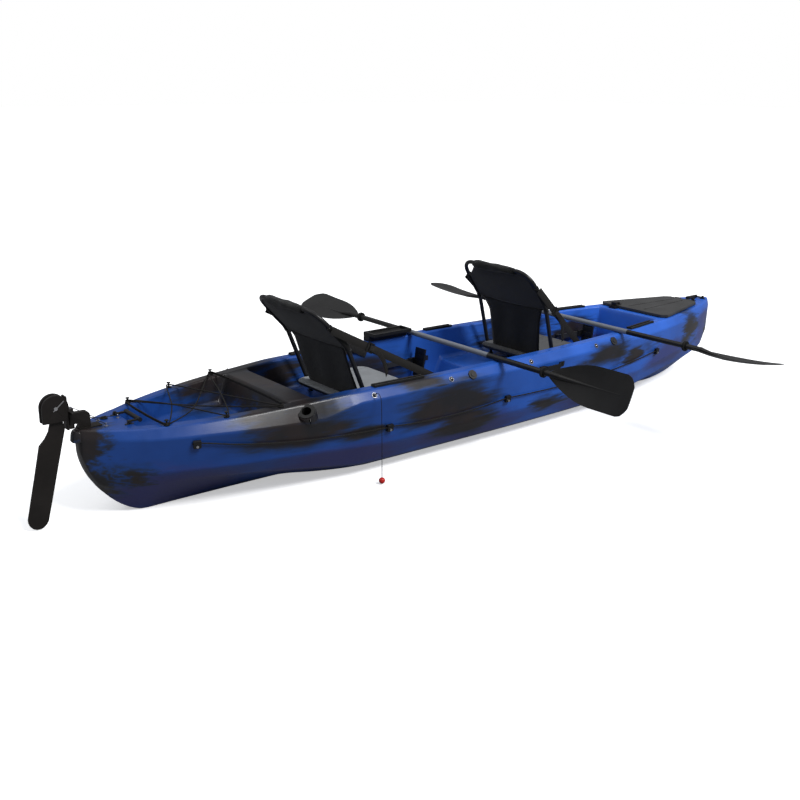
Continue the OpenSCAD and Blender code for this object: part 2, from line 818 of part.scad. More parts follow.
module rail_block_port() {
    y = (rim_y(block_start) + well_y(block_start)) / 2;
    plate_w = block_w + block_over;
    color("black") translate([block_start, y + block_w / 2, gunwale_z]) difference() {
        union() {
            translate([0, -block_w, 0]) cube([block_len, block_w, rail_block_h]);
            translate([0, -plate_w, rail_block_h - block_plate_t]) cube([block_len, plate_w, block_plate_t]);
        }
        translate([block_end_wall, block_side_wall - plate_w, rail_block_h - block_pocket])
            cube([block_len - 2 * block_end_wall, plate_w - 2 * block_side_wall, 2 * block_pocket]);
    }
}

// Octagonal fitting plates and pad eyes on the shoulders
plate_spots = [-290, 800];
plate_t = 6;
plate_hub_d = 24;
eye_spots = [-426, 117, 640];
eye_ring_d = 20;
eye_wire_d = 5;
eye_base_d = 26;
eye_base_t = 3;
cord_eye_x = -885;

module fitting_plates() {
    color("dimgray") for (x = plate_spots) for (s = sides) on_shoulder(x, s) {
        rotate([0, 0, 22.5]) cylinder(d = plate_d, h = plate_t, $fn = 8);
        translate([0, 0, plate_t - 1]) cylinder(d = plate_hub_d, h = 4);
    }
}

module pad_eye() {
    cylinder(d = eye_base_d, h = eye_base_t);
    translate([0, 0, eye_base_t - eye_wire_d / 2]) rotate([90, 0, 0])
        rotate_extrude(angle = 180) translate([eye_ring_d / 2 - eye_wire_d / 2, 0]) circle(d = eye_wire_d);
}

module pad_eyes() {
    color("silver") {
        for (x = eye_spots) for (s = sides) on_shoulder(x, s) pad_eye();
        on_shoulder(cord_eye_x, -1) rotate([0, 0, 90]) pad_eye();
    }
}

// Side carry handles: a strap that stands off between two screwed ends
side_handle_x = 265;
side_handle_z = 378;
side_handle_len = 190;
side_handle_w = 28;
side_handle_off = 16;
side_handle_t = 5;
side_handle_end = 36;
side_handle_rise = 12;
side_handle_screw = 14;
side_handle_head = [11, 3];

module side_handles() {
    l = side_handle_len / 2;
    o = side_handle_off;
    t = side_handle_t;
    a = l - side_handle_end;
    b = a - side_handle_rise;
    e = side_handle_rise / 2;
    outline = [
        [-l, 0], [-a, 0], [-a, t], [-b, o], [b, o], [a, t], [a, 0],
        [l, 0], [l, t], [a + e, t], [b + e - 2, o + t], [-b - e + 2, o + t], [-a - e, t], [-l, t]
    ];
    color("black") for (s = sides) on_side(side_handle_x, side_handle_z, s)
        translate([0, side_handle_w / 2, 0]) rotate([90, 0, 0])
            linear_extrude(side_handle_w) polygon(outline);
    color("silver") for (s = sides) for (e = sides) on_side(side_handle_x, side_handle_z, s)
        translate([e * (l - side_handle_screw), 0, t])
            cylinder(d = side_handle_head[0], h = side_handle_head[1]);
}

// Flush rod holders
module rod_holder(s) {
    color("black") at_rod(s) difference() {
        union() {
            translate([0, 0, rod_boss_h - rod_depth])
                cylinder(d = rod_bore_d + 2 * rod_wall, h = rod_depth + 1);
            translate([0, 0, rod_boss_h]) cylinder(d = rod_flange_d, h = rod_flange_t);
        }
        translate([0, 0, rod_boss_h - rod_depth + rod_wall])
            cylinder(d = rod_bore_d, h = rod_depth + cut_over);
    }
}

module rod_holder_port() {
    rod_holder(1);
}

module rod_holder_starboard() {
    rod_holder(-1);
}

// Pull cord with a ball, hanging free over the starboard side
pull_route = [
    [-885, -415, 431.5],
    [-885, -425, 439],
    [-885, -436, 441],
    [-884, -446, 435],
    [-882, -452, 420],
    [-880, -454, 390],
    [-879, -455, 300],
    [-878, -455, 200],
    [-878, -455, 100],
    [-878, -455, 33.4]
];
ball_at = [-878, -455, 33 - ball_d / 2];

module pull_cord() {
    color("black") cord(pull_route, pull_d / 2, 8, [1, 0, 0]);
}

module pull_ball() {
    color("red") translate(ball_at) sphere(d = ball_d);
}

// Rudder: bracket on the stern deck, head on the steering pin, blade in the head
gudgeon_x = -half_len - 16;
gudgeon_z = stern_deck_z + 22;
gudgeon_h = 58;
gudgeon_r = 14;
bracket_start = -half_len + 12;
bracket_end = -half_len + 64;
bracket_w = 26;
bracket_base = [96, 52, 6];
arm_lift = 4;
arm_h = 48;
arm_round = 22;
head_w = 44;
head_r = 56;
head_drop = 60;
head_lug_t = 14;
head_plate_t = 8;
head_front = gudgeon_x - gudgeon_r - 1.5;
head_tab_h = 43;
blade_pin_x = gudgeon_x - 66;
blade_pin_z = gudgeon_z + 88;
slot_gap = 1;
tiller_y = 46;
tiller_w = 20;
tiller_t = 8;
blade_hub_r = 34;
blade_rake = 15;
blade_fore = 62;
blade_aft = 34;
blade_neck_aft = 6;
blade_neck_top = 72;
blade_neck_low = 104;
blade_shoulder = 136;
blade_full = 168;
blade_straight = 290;
blade_fore_top = 85;
tip_w = 45;
tip_h = 50;
lug_low = gudgeon_z - gap - head_lug_t;
lug_high = gudgeon_z + gudgeon_h + gap;

module rudder_bracket() {
    color("black") difference() {
        union() {
            translate([bracket_start, -bracket_base[1] / 2, stern_deck_z]) cube(bracket_base);
            translate([bracket_start, -bracket_w / 2, stern_deck_z])
                cube([bracket_end - bracket_start, bracket_w, gudgeon_z - stern_deck_z + arm_lift + 1]);
            translate([gudgeon_x, -bracket_w / 2, gudgeon_z + arm_lift])
                cube([bracket_end - arm_round - gudgeon_x, bracket_w, arm_h]);
            translate([gudgeon_x, -bracket_w / 2, gudgeon_z + arm_lift])
                cube([bracket_end - gudgeon_x, bracket_w, arm_h - arm_round]);
            translate([bracket_end - arm_round, 0, gudgeon_z + arm_lift + arm_h - arm_round])
                rotate([90, 0, 0]) cylinder(r = arm_round, h = bracket_w, center = true);
            translate([gudgeon_x, 0, gudgeon_z]) cylinder(r = gudgeon_r, h = gudgeon_h);
        }
        translate([gudgeon_x, 0, gudgeon_z - 1])
            cylinder(d = steer_pin_d + 2 * pin_gap, h = gudgeon_h + 2);
    }
}

module steering_pin() {
    h = lug_high + head_lug_t - lug_low;
    color("silver") translate([gudgeon_x, 0, lug_low]) {
        cylinder(d = steer_pin_d, h = h + 3);
        translate([0, 0, h + gap]) cylinder(d = steer_pin_d + 8, h = 5);
    }
}

module rudder_head() {
    aft = blade_pin_x - head_r;
    color("black") difference() {
        union() {
            for (z = [lug_low, lug_high]) {
                translate([gudgeon_x, 0, z]) cylinder(r = gudgeon_r, h = head_lug_t);
                translate([head_front - head_plate_t, -gudgeon_r, z])
                    cube([gudgeon_x - head_front + head_plate_t, 2 * gudgeon_r, head_lug_t]);
            }
            translate([head_front - head_plate_t, -head_w / 2, lug_low])
                cube([head_plate_t, head_w, blade_pin_z + head_tab_h - lug_low]);
            translate([blade_pin_x, 0, blade_pin_z]) rotate([90, 0, 0])
                cylinder(r = head_r, h = head_w, center = true);
            translate([aft, -head_w / 2, blade_pin_z - head_drop])
                cube([head_front - aft, head_w, head_drop]);
            translate([gudgeon_x - tiller_w + 8, -tiller_y - 8, lug_high])
                cube([tiller_w, 2 * tiller_y + 16, tiller_t]);
        }
        translate([aft - 10, -blade_t / 2 - slot_gap, lug_low - 20])
            cube([head_front - head_plate_t - aft + 10, blade_t + 2 * slot_gap, 260]);
        translate([blade_pin_x, 0, blade_pin_z]) rotate([90, 0, 0])
            cylinder(d = blade_pin_d + 2 * pin_gap, h = 2 * head_w, center = true);
        translate([gudgeon_x, 0, lug_low - 1])
            cylinder(d = steer_pin_d + 2 * pin_gap, h = lug_high - lug_low + 60);
    }
}

module blade_pin() {
    color("silver") translate([blade_pin_x, 0, blade_pin_z]) rotate([90, 0, 0]) {
        cylinder(d = blade_pin_d, h = head_w + 6, center = true);
        for (s = sides)
            translate([0, 0, s * (head_w / 2 + gap + 2)])
                cylinder(d = blade_pin_d + 8, h = 4, center = true);
    }
}

// Blade hung from its pin and raked aft, with its rounded tip just clear of the ground
module rudder_blade() {
    tip_mid = blade_fore - tip_w;
    tip_reach = norm([tip_w * sin(blade_rake), tip_h * cos(blade_rake)]);
    fall = blade_pin_z - blade_clear - tip_mid * sin(blade_rake) - tip_reach;
    tip_y = -fall / cos(blade_rake);
    outline = concat(
        [for (a = [0:20:180]) blade_hub_r * [cos(a), sin(a)]],
        [[-blade_hub_r, -20], [-blade_neck_aft, -blade_neck_top], [-blade_neck_aft, -blade_neck_low]],
        [[-blade_neck_aft - 10, -blade_shoulder], [-blade_aft, -blade_full]],
        [[-blade_aft + 3, -blade_straight]],
        [for (a = [190:20:350]) [tip_mid, tip_y] + [tip_w * cos(a), tip_h * sin(a)]],
        [[blade_fore, -blade_fore_top], [blade_hub_r + 2, -30]]
    );
    color("black") translate([blade_pin_x, 0, blade_pin_z]) rotate([90, 0, 0]) rotate([0, 0, -blade_rake])
        linear_extrude(blade_t, center = true) difference() {
            polygon(outline);
            circle(d = blade_pin_d + 2 * pin_gap);
        }
}

// Lines of the rudder and their deck fairleads
fairlead_x = -half_len + 118;
fairlead_y = 44;
lift_lead_x = stern_deck_end - 22;
lift_lead_y = 34;
fairlead_h = 16;
fairlead_d = 7;
line_d = 3;

module line_fairleads() {
    spots = [[fairlead_x, fairlead_y], [fairlead_x, -fairlead_y], [lift_lead_x, lift_lead_y]];
    color("silver") for (p = spots)
        translate([p[0], p[1], stern_deck_z + gap]) {
            cylinder(d = 2 * fairlead_d + 2, h = 3);
            cylinder(d = fairlead_d, h = fairlead_h);
        }
}

module steering_lines() {
    color("black") for (s = sides) cord([
        [gudgeon_x + 9, s * tiller_y, lug_high + tiller_t / 2],
        [gudgeon_x + 40, s * tiller_y, lug_high - 6],
        [fairlead_x - fairlead_d / 2 - 1, s * fairlead_y, stern_deck_z + fairlead_h - 2]
    ], line_d / 2, 8, [0, 1, 0]);
}

module lift_line() {
    color("black") cord([
        [bracket_end + 0.8, 0, gudgeon_z + arm_lift + 12],
        [bracket_end + 30, 6, stern_deck_z + 30],
        [lift_lead_x - fairlead_d / 2 - 1, lift_lead_y - 2, stern_deck_z + fairlead_h - 3]
    ], line_d / 2, 8, [0, 1, 0]);
}

// Frame seats
tube_r = tube_d / 2;
rail_y = seat_w / 2;
frame_corner = 45;
back_y = rail_y + tube_d + 3;
back_corner = 90;
back_bend_r = 120;
collar_len = 16;
collar_t = 1.2;
collar_gap = 0.4;
sling_start = 66;
seat_bolt_d = 8;
seat_bolt_head_d = 14;
seat_bolt_head_t = 6;
bolt_inside = 8;
pivot_x = 30;
leg_x = [75, 345];
leg_d = 16;
foot_d = 30;
foot_t = 5;
strap_t = 3;
strap_clear = 8;
strap_from = 430;
strap_end_in = 20;
wall_strap_x = 420;
wall_strap_z = 45;
leg_in = 4;
buckle_at = 0.3;
buckle_len = 44;
buckle_t = 7;
buckle_edge = 2;

module tube(len) {
    difference() {
        cylinder(r = tube_r, h = len);
        translate([0, 0, -1]) cylinder(r = tube_r - tube_wall, h = len + 2);
    }
}

// Quarter bend of tube in the XY plane, centred on the origin
module bend(radius) {
    rotate_extrude(angle = 90) translate([radius, 0]) difference() {
        circle(r = tube_r);
        circle(r = tube_r - tube_wall);
    }
}

module seat_base() {
    c = frame_corner;
    color("black") difference() {
        union() {
            for (s = sides) {
                translate([c, s * rail_y, 0]) rotate([0, 90, 0]) tube(seat_depth - 2 * c);
                translate([0, s * (rail_y - c), 0]) rotate([s * 90, 0, 0]) tube(rail_y - c);
                translate([seat_depth, s * (rail_y - c), 0]) rotate([s * 90, 0, 0]) tube(rail_y - c);
            }
            for (m = [0, 1]) mirror([0, m, 0]) {
                translate([seat_depth - c, rail_y - c, 0]) bend(c);
                translate([c, rail_y - c, 0]) rotate([0, 0, 90]) bend(c);
            }
            for (x = leg_x) for (s = sides) translate([x, s * (rail_y - leg_in), seat_deck_z - seat_z]) {
                cylinder(d = foot_d, h = foot_t);
                cylinder(d = leg_d, h = seat_z - seat_deck_z - tube_r + tube_wall / 2);
            }
        }
        translate([pivot_x + c, 0, 0])
            rotate([90, 0, 0]) cylinder(d = seat_bolt_d + 2 * pin_gap, h = 2 * seat_w, center = true);
    }
}

module sheet(outline) {
    linear_extrude(fabric_t, center = true) polygon(outline);
}

function rounded(x0, x1, y, c) = concat(
    [for (a = [0:15:90]) [x1 - c, y - c] + c * [sin(a), cos(a)]],
    [for (a = [90:15:180]) [x1 - c, -y + c] + c * [sin(a), cos(a)]],
    [for (a = [180:15:270]) [x0 + c, -y + c] + c * [sin(a), cos(a)]],
    [for (a = [270:15:360]) [x0 + c, y - c] + c * [sin(a), cos(a)]]
);

// Seat fabric inside the frame, cut away round the pivot bolts
module seat_sling() {
    m = tube_r + gap;
    color("lightgray") difference() {
        sheet(rounded(m, seat_depth - m, rail_y - m, frame_corner - m));
        for (s = sides) translate([pivot_x + frame_corner, s * (rail_y - tube_r), 0])
            cube([1.5 * seat_bolt_head_d, 2 * bolt_inside + 4, 4 * fabric_t], center = true);
    }
}

// The back's side view: straight up from the pivot, bent aft, then straight to the top tube
back_arc = back_bend_r * back_bend * PI / 180;
back_top_len = back_len - back_bend_at - back_arc;
back_bend_end = [back_bend_r * (cos(back_bend) - 1), back_bend_at + back_bend_r * sin(back_bend)];
function above_bend(v) = back_bend_end + (v - back_bend_at - back_arc) * [-sin(back_bend), cos(back_bend)];

// Children stand above the bend
module on_back_top() {
    translate([back_bend_end[0], 0, back_bend_end[1]]) rotate([0, -back_bend, 0]) children();
}

// Children, drawn in the XY plane with X out from the bend's axis, are carried round the bend
module round_back_bend() {
    translate([-back_bend_r, 0, back_bend_at])
        rotate([90, 0, 0]) rotate_extrude(angle = back_bend) children();
}

// Collar that joins the bend to the tube above it
module collar() {
    difference() {
        cylinder(r = tube_r + collar_t, h = collar_len, center = true);
        cylinder(r = tube_r - tube_wall / 2, h = collar_len + 2, center = true);
    }
}

module seat_back() {
    c = back_corner;
    color("black") difference() {
        union() {
            for (s = sides) translate([0, s * back_y, 0]) {
                translate([0, 0, -tube_r]) tube(back_bend_at + tube_r);
                round_back_bend() translate([back_bend_r, 0]) difference() {
                    circle(r = tube_r);
                    circle(r = tube_r - tube_wall);
                }
            }
            on_back_top() {
                for (s = sides) {
                    translate([0, s * back_y, collar_gap]) tube(back_top_len - c - collar_gap);
                    translate([0, s * back_y, 0]) collar();
                    translate([0, s * (back_y - c), back_top_len]) rotate([s * 90, 0, 0]) tube(back_y - c);
                }
                for (m = [0, 1]) mirror([0, m, 0])
                    translate([0, back_y - c, back_top_len - c]) rotate([90, 0, 90]) bend(c);
            }
        }
        rotate([90, 0, 0]) cylinder(d = seat_bolt_d + 2 * pin_gap, h = 3 * seat_w, center = true);
    }
}

// Side view of one face of the back's fabric, o in front of the tubes' middle
function back_face(o) = concat(
    [[o, 0]],
    [for (i = [0:6]) let (a = back_bend * i / 6) [
        (back_bend_r + o) * cos(a) - back_bend_r, back_bend_at + (back_bend_r + o) * sin(a)
    ]],
    [above_bend(back_len) + o * [cos(back_bend), sin(back_bend)]]
);

// Fabric of the back: a bent sheet cut to the outline inside the tubes
module back_sling() {
    m = tube_r + collar_t + gap;
    y = back_y - m;
    c = back_corner - m;
    ahead = back_face(fabric_t / 2);
    behind = back_face(-fabric_t / 2);
    corner = [for (a = [0:15:90]) [y - c + c * cos(a), above_bend(back_len - m - c + c * sin(a))[1]]];
    color("black") intersection() {
        rotate([90, 0, 0]) linear_extrude(2 * back_y, center = true)
            polygon(concat(ahead, [for (i = [len(behind) - 1:-1:0]) behind[i]]));
        rotate([90, 0, 90]) linear_extrude(2 * back_len, center = true) polygon(concat(
            [[-y, sling_start], [y, sling_start]],
            corner,
            [for (i = [len(corner) - 1:-1:0]) [-corner[i][0], corner[i][1]]]
        ));
    }
}

module seat_bolt_pair() {
    head = back_y - rail_y + tube_r + gap;
    color("silver") for (s = sides) translate([0, s * rail_y, 0]) rotate([-s * 90, 0, 0]) {
        translate([0, 0, -tube_r - bolt_inside])
            cylinder(d = seat_bolt_d, h = head + tube_r + bolt_inside + seat_bolt_head_t / 2);
        translate([0, 0, -tube_r - bolt_inside]) cylinder(d = seat_bolt_head_d, h = bolt_inside - gap);
        translate([0, 0, head]) cylinder(d = seat_bolt_head_d, h = seat_bolt_head_t);
    }
}

// Straps run from the sides of the backs: the rear pair to the hull's walls, the front pair to the seat's rails
wall_strap_y = wall_y(rear_seat_x + wall_strap_x - strap_w / 4, seat_z + wall_strap_z - strap_w / 2);
wall_strap_end = [wall_strap_x, wall_strap_y - strap_t - gap, wall_strap_z];
rail_strap_end = [seat_depth - pivot_x - 2 * frame_corner - strap_end_in, rail_y + tube_r + gap, 0];

function strap_ends(recline, low) =
    let (p = above_bend(strap_from))
    let (x = p[0] * cos(recline) - p[1] * sin(recline), z = p[0] * sin(recline) + p[1] * cos(recline))
    [[x, back_y + tube_r + strap_clear, z], low];

module strap_pair(recline, low) {
    e = strap_ends(recline, low);
    d = unit([e[1][0] - e[0][0], 0, e[1][2] - e[0][2]]);
    n = [-d[2], 0, d[0]] * strap_w / 2;
    t = [0, strap_t, 0];
    corners = [for (o = [[0, 0, 0], t]) each [e[0] - n + o, e[0] + n + o, e[1] + n + o, e[1] - n + o]];
    color("black") for (m = [0, 1]) mirror([0, m, 0])
        polyhedron(corners, [
            [0, 1, 2], [0, 2, 3], [6, 5, 4], [7, 6, 4], [1, 0, 4], [5, 1, 4],
            [2, 1, 5], [6, 2, 5], [3, 2, 6], [7, 3, 6], [0, 3, 7], [4, 0, 7]
        ]);
}

module strap_buckle_pair(recline, low) {
    e = strap_ends(recline, low);
    p = mix(e[0], e[1], buckle_at);
    u = unit(e[1] - e[0]);
    size = [buckle_len, buckle_t, strap_w + 2 * buckle_edge];
    color("black") for (m = [0, 1]) mirror([0, m, 0])
        translate([p[0], p[1] + strap_t + gap, p[2]]) rotate([0, atan2(-u[2], u[0]), 0])
            rotate([0, 0, asin(u[1])]) translate([-size[0] / 2, 0, -size[2] / 2]) cube(size);
}

module at_seat(x) {
    translate([x - pivot_x - frame_corner, 0, seat_z]) children();
}

module at_back(x, recline) {
    translate([x, 0, seat_z]) rotate([0, -recline, 0]) children();
}

module rear_seat_base() {
    at_seat(rear_seat_x) seat_base();
}

module rear_seat_sling() {
    at_seat(rear_seat_x) seat_sling();
}

module rear_seat_back() {
    at_back(rear_seat_x, rear_recline) seat_back();
}

module rear_back_sling() {
    at_back(rear_seat_x, rear_recline) back_sling();
}

module rear_seat_straps() {
    translate([rear_seat_x, 0, seat_z]) strap_pair(rear_recline, wall_strap_end);
}

module front_seat_base() {
    at_seat(front_seat_x) seat_base();
}

module front_seat_sling() {
    at_seat(front_seat_x) seat_sling();
}

module front_seat_back() {
    at_back(front_seat_x, front_recline) seat_back();
}

module front_back_sling() {
    at_back(front_seat_x, front_recline) back_sling();
}

module front_seat_straps() {
    translate([front_seat_x, 0, seat_z]) strap_pair(front_recline, rail_strap_end);
}

module seat_bolts() {
    for (x = [rear_seat_x, front_seat_x]) translate([x, 0, seat_z]) seat_bolt_pair();
}

module rear_strap_buckles() {
    translate([rear_seat_x, 0, seat_z]) strap_buckle_pair(rear_recline, wall_strap_end);
}

module front_strap_buckles() {
    translate([front_seat_x, 0, seat_z]) strap_buckle_pair(front_recline, rail_strap_end);
}

// Foot braces: a rail on each cockpit side and a pedal that slides along it
rear_rail_x = -275;
front_rail_x = 985;
foot_rail_z = 310;
foot_rail_t = 12;
foot_rail_h = 26;
standoff_d = 18;
rear_pedal_x = -95;
front_pedal_x = 1165;
pedal_w = 84;
pedal_t = 12;
carriage_len = 60;
lip_t = 6;
lip_over = 7;
pedal_lean = 8;
pedal_edge = 8;
tread_depth = 3;
standoff_in = 25;
standoff_drop = 4;
rail_clear = 8;

// Inner face of the cockpit side at height z
function wall_y(x, z) =
    let (zf = floor_z(x), top = rim_z(x) - 0.75 * edge_at(x), foot = zf + well_corner)
    mix(well_foot_y(x, zf), well_y(x), (z - foot) / (top - foot));
function rail_out(x) =
    min([for (d = [0, foot_rail_len]) wall_y(x + d, foot_rail_z - foot_rail_h / 2)]) - rail_clear;
function standoff_end(x) =
    min([for (s = sides) wall_y(x + s * standoff_d / 2, foot_rail_z - standoff_drop - standoff_d / 2)]) - gap;

module foot_rails() {
    color("dimgray") for (x = [rear_rail_x, front_rail_x]) for (m = [0, 1]) mirror([0, m, 0]) {
        translate([x, rail_out(x) - foot_rail_t, foot_rail_z - foot_rail_h / 2])
            cube([foot_rail_len, foot_rail_t, foot_rail_h]);
        for (d = [standoff_in, foot_rail_len - standoff_in])
            translate([x + d, rail_out(x) - 1, foot_rail_z - standoff_drop]) rotate([-90, 0, 0])
                cylinder(d = standoff_d, h = standoff_end(x + d) - rail_out(x) + 1);
    }
}

module pedal(x, rail_x, s) {
    y = rail_out(rail_x) - foot_rail_t - gap;
    z0 = foot_rail_z - foot_rail_h / 2 - gap - lip_t;
    h = foot_rail_h + 2 * (gap + lip_t);
    color("black") mirror([0, s < 0 ? 1 : 0, 0]) translate([x, y, 0]) {
        translate([-carriage_len / 2, -lip_t, z0]) cube([carriage_len, lip_t, h]);
        for (z = [z0, z0 + h - lip_t])
            translate([-carriage_len / 2, -lip_t, z]) cube([carriage_len, lip_t + lip_over, lip_t]);
        translate([-pedal_t / 2, -pedal_w, foot_rail_z - pedal_h / 2]) rotate([0, pedal_lean, 0])
            difference() {
                cube([pedal_t, pedal_w - lip_t + 3, pedal_h]);
                for (k = [1:4]) translate([-1, pedal_edge, k * pedal_h / 5 - pedal_edge / 2])
                    cube([tread_depth + 1, pedal_w - lip_t - 2 * pedal_edge, pedal_edge]);
            }
    }
}

module rear_pedal_port() {
    pedal(rear_pedal_x, rear_rail_x, 1);
}

module rear_pedal_starboard() {
    pedal(rear_pedal_x, rear_rail_x, -1);
}

module front_pedal_port() {
    pedal(front_pedal_x, front_rail_x, 1);
}

module front_pedal_starboard() {
    pedal(front_pedal_x, front_rail_x, -1);
}

// Paddles, lying across the gunwales
shaft_r = shaft_d / 2;
paddle_z = gunwale_z + shaft_r + gap;
drip_ring_d = 54;
drip_ring_t = 12;
drip_ring_in = 45;
shaft_wall = 2;
socket_len = 60;
blade_dip = 80;
blade_rise = 100;
blade_cup = 10;
blade_edge_t = 3;
blade_spine_t = 7;
blade_rows = 14;
blade_cols = 6;
blade_neck_share = 0.17;
blade_full_at = 0.55;
blade_end_at = 0.85;
blade_end_share = 0.5;

module at_paddle(x, y, turn) {
    translate([x, y, paddle_z]) rotate([0, turn, 0]) children();
}

module paddle_shaft() {
    color("gray") rotate([90, 0, 0]) difference() {
        cylinder(r = shaft_r, h = grey_len, center = true);
        cylinder(r = shaft_r - shaft_wall, h = grey_len + 2, center = true);
    }
}

// Half width of the blade at a share u of its length
function blade_half_w(u) =
    let (swell = pow(sin(90 * min(1, u / blade_full_at)), 0.9))
    let (end = pow(max(0, u - blade_end_at) / (1 - blade_end_at), 3))
    paddle_blade_w / 2 * mix(blade_neck_share, 1, swell) * mix(1, blade_end_share, end);

// Height of the blade's spine above the line of the shaft
function blade_curve(u) = blade_rise * u * u - blade_dip * u;

// Spooned blade: two skins of points that meet at thin edges
module spoon() {
    n = blade_rows;
    m = blade_cols;
    front = [
        for (i = [0:n]) for (j = [0:m])
            let (u = 1 - pow(1 - i / n, 1.4), v = 2 * j / m - 1)
            [v * blade_half_w(u), u * paddle_blade_len, blade_curve(u) + blade_cup * v * v * sin(180 * u)]
    ];
    thick = [
        for (i = [0:n]) for (j = [0:m])
            let (v = 2 * j / m - 1) mix(blade_spine_t, blade_edge_t, v * v)
    ];
    points = concat(
        [for (k = [0:len(front) - 1]) front[k] + [0, 0, thick[k] / 2]],
        [for (k = [0:len(front) - 1]) front[k] - [0, 0, thick[k] / 2]]
    );
    o = (n + 1) * (m + 1);
    w = m + 1;
    edge = concat(
        [for (j = [0:m]) j], [for (i = [1:n]) i * w + m],
        [for (j = [m - 1:-1:0]) n * w + j], [for (i = [n - 1:-1:1]) i * w]
    );
    faces = concat(
        [for (i = [0:n - 1]) for (j = [0:m - 1]) let (a = i * w + j)
            each [[a, a + w, a + w + 1], [a, a + w + 1, a + 1]]],
        [for (i = [0:n - 1]) for (j = [0:m - 1]) let (a = o + i * w + j)
            each [[a, a + w + 1, a + w], [a, a + 1, a + w + 1]]],
        [for (k = [0:len(edge) - 1]) let (a = edge[k], b = edge[(k + 1) % len(edge)])
            each [[a, b, o + b], [a, o + b, o + a]]]
    );
    polyhedron(points, faces);
}

module paddle_blades(feather) {
    start = grey_len / 2;
    ring = paddle_len / 2 - paddle_blade_len;
    color("black") for (m = [0, 1]) mirror([0, m, 0]) rotate([0, m == 0 ? feather : 0, 0]) {
        translate([0, start, 0]) rotate([-90, 0, 0]) cylinder(r = shaft_r, h = ring + socket_len - start);
        translate([0, ring, 0]) spoon();
    }
}

module paddle_rings() {
    ring = paddle_len / 2 - paddle_blade_len - drip_ring_in;
    color("black") for (s = sides) translate([0, s * ring, 0]) rotate([90, 0, 0]) difference() {
        cylinder(d = drip_ring_d, h = drip_ring_t, center = true);
        cylinder(r = shaft_r + pin_gap, h = drip_ring_t + 2, center = true);
    }
}

rear_blade_turn = -67;
front_blade_turn = 9;

module rear_paddle_shaft() {
    at_paddle(rear_paddle_x, rear_paddle_y, rear_blade_turn) paddle_shaft();
}

module rear_paddle_blades() {
    at_paddle(rear_paddle_x, rear_paddle_y, rear_blade_turn) paddle_blades(rear_feather);
}

module rear_paddle_rings() {
    at_paddle(rear_paddle_x, rear_paddle_y, rear_blade_turn) paddle_rings();
}

module front_paddle_shaft() {
    at_paddle(front_paddle_x, front_paddle_y, front_blade_turn) paddle_shaft();
}

module front_paddle_blades() {
    at_paddle(front_paddle_x, front_paddle_y, front_blade_turn) paddle_blades(front_feather);
}

module front_paddle_rings() {
    at_paddle(front_paddle_x, front_paddle_y, front_blade_turn) paddle_rings();
}

hull();
drain_plug();
hatch_lid();
hatch_seal();
hatch_hinge_brackets();
hatch_hinge_pin();
hatch_latch();
hatch_latch_pin();
hatch_keeper();
bow_handle();
stern_handle();
handle_saddles();
bungee_lacing();
deck_hooks();
grab_line_port();
grab_line_starboard();
grab_line_clips();
clip_bolts();
gear_tracks_port();
gear_tracks_starboard();
rail_block_port();
fitting_plates();
pad_eyes();
side_handles();
rod_holder_port();
rod_holder_starboard();
pull_cord();
pull_ball();
rudder_bracket();
steering_pin();
rudder_head();
blade_pin();
rudder_blade();
line_fairleads();
steering_lines();
lift_line();
rear_seat_base();
rear_seat_sling();
rear_seat_back();
rear_back_sling();
rear_seat_straps();
front_seat_base();
front_seat_sling();
front_seat_back();
front_back_sling();
front_seat_straps();
seat_bolts();
rear_strap_buckles();
front_strap_buckles();
foot_rails();
rear_pedal_port();
rear_pedal_starboard();
front_pedal_port();
front_pedal_starboard();
rear_paddle_shaft();
rear_paddle_blades();
rear_paddle_rings();
front_paddle_shaft();
front_paddle_blades();
front_paddle_rings();
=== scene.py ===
"""Looks of the tandem kayak: finishes for its solid pieces, and its skin, fabric, webbing and cords."""
import math

import bmesh
import bpy
import numpy as np
from bpy.props import FloatProperty, FloatVectorProperty, PointerProperty
from mathutils import Matrix, Vector


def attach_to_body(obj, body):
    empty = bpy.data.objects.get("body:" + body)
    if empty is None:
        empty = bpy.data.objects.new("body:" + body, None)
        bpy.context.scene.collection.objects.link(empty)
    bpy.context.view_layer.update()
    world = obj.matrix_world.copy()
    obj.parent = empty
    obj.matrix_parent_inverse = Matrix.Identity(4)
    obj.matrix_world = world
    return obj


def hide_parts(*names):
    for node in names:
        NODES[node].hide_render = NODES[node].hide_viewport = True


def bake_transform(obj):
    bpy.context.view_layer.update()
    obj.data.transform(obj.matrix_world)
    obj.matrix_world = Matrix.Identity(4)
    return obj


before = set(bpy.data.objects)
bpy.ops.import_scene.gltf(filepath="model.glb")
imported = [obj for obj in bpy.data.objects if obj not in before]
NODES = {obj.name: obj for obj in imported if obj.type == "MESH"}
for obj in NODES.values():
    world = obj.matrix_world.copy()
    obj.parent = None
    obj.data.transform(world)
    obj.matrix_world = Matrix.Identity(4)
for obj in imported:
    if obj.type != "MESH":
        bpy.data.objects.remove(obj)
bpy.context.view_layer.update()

bl_info = {
    "name": "Tandem kayak looks",
    "version": (1, 0, 0),
    "blender": (4, 5, 0),
    "location": "View3D > Sidebar > Kayak",
    "description": "Skins, dresses and lights the tandem kayak around its solid model",
    "category": "Object",
}

FRAME_SIZE = 800
MM = 0.001
SIDES = (("port", 1), ("starboard", -1))
CORD_SIDES = 10
DRUM_SIDES = 48
WELD_GAP = 2e-5
FINE_EDGE, SOFT_EDGE = 0.4, 1.6


# Shader tools

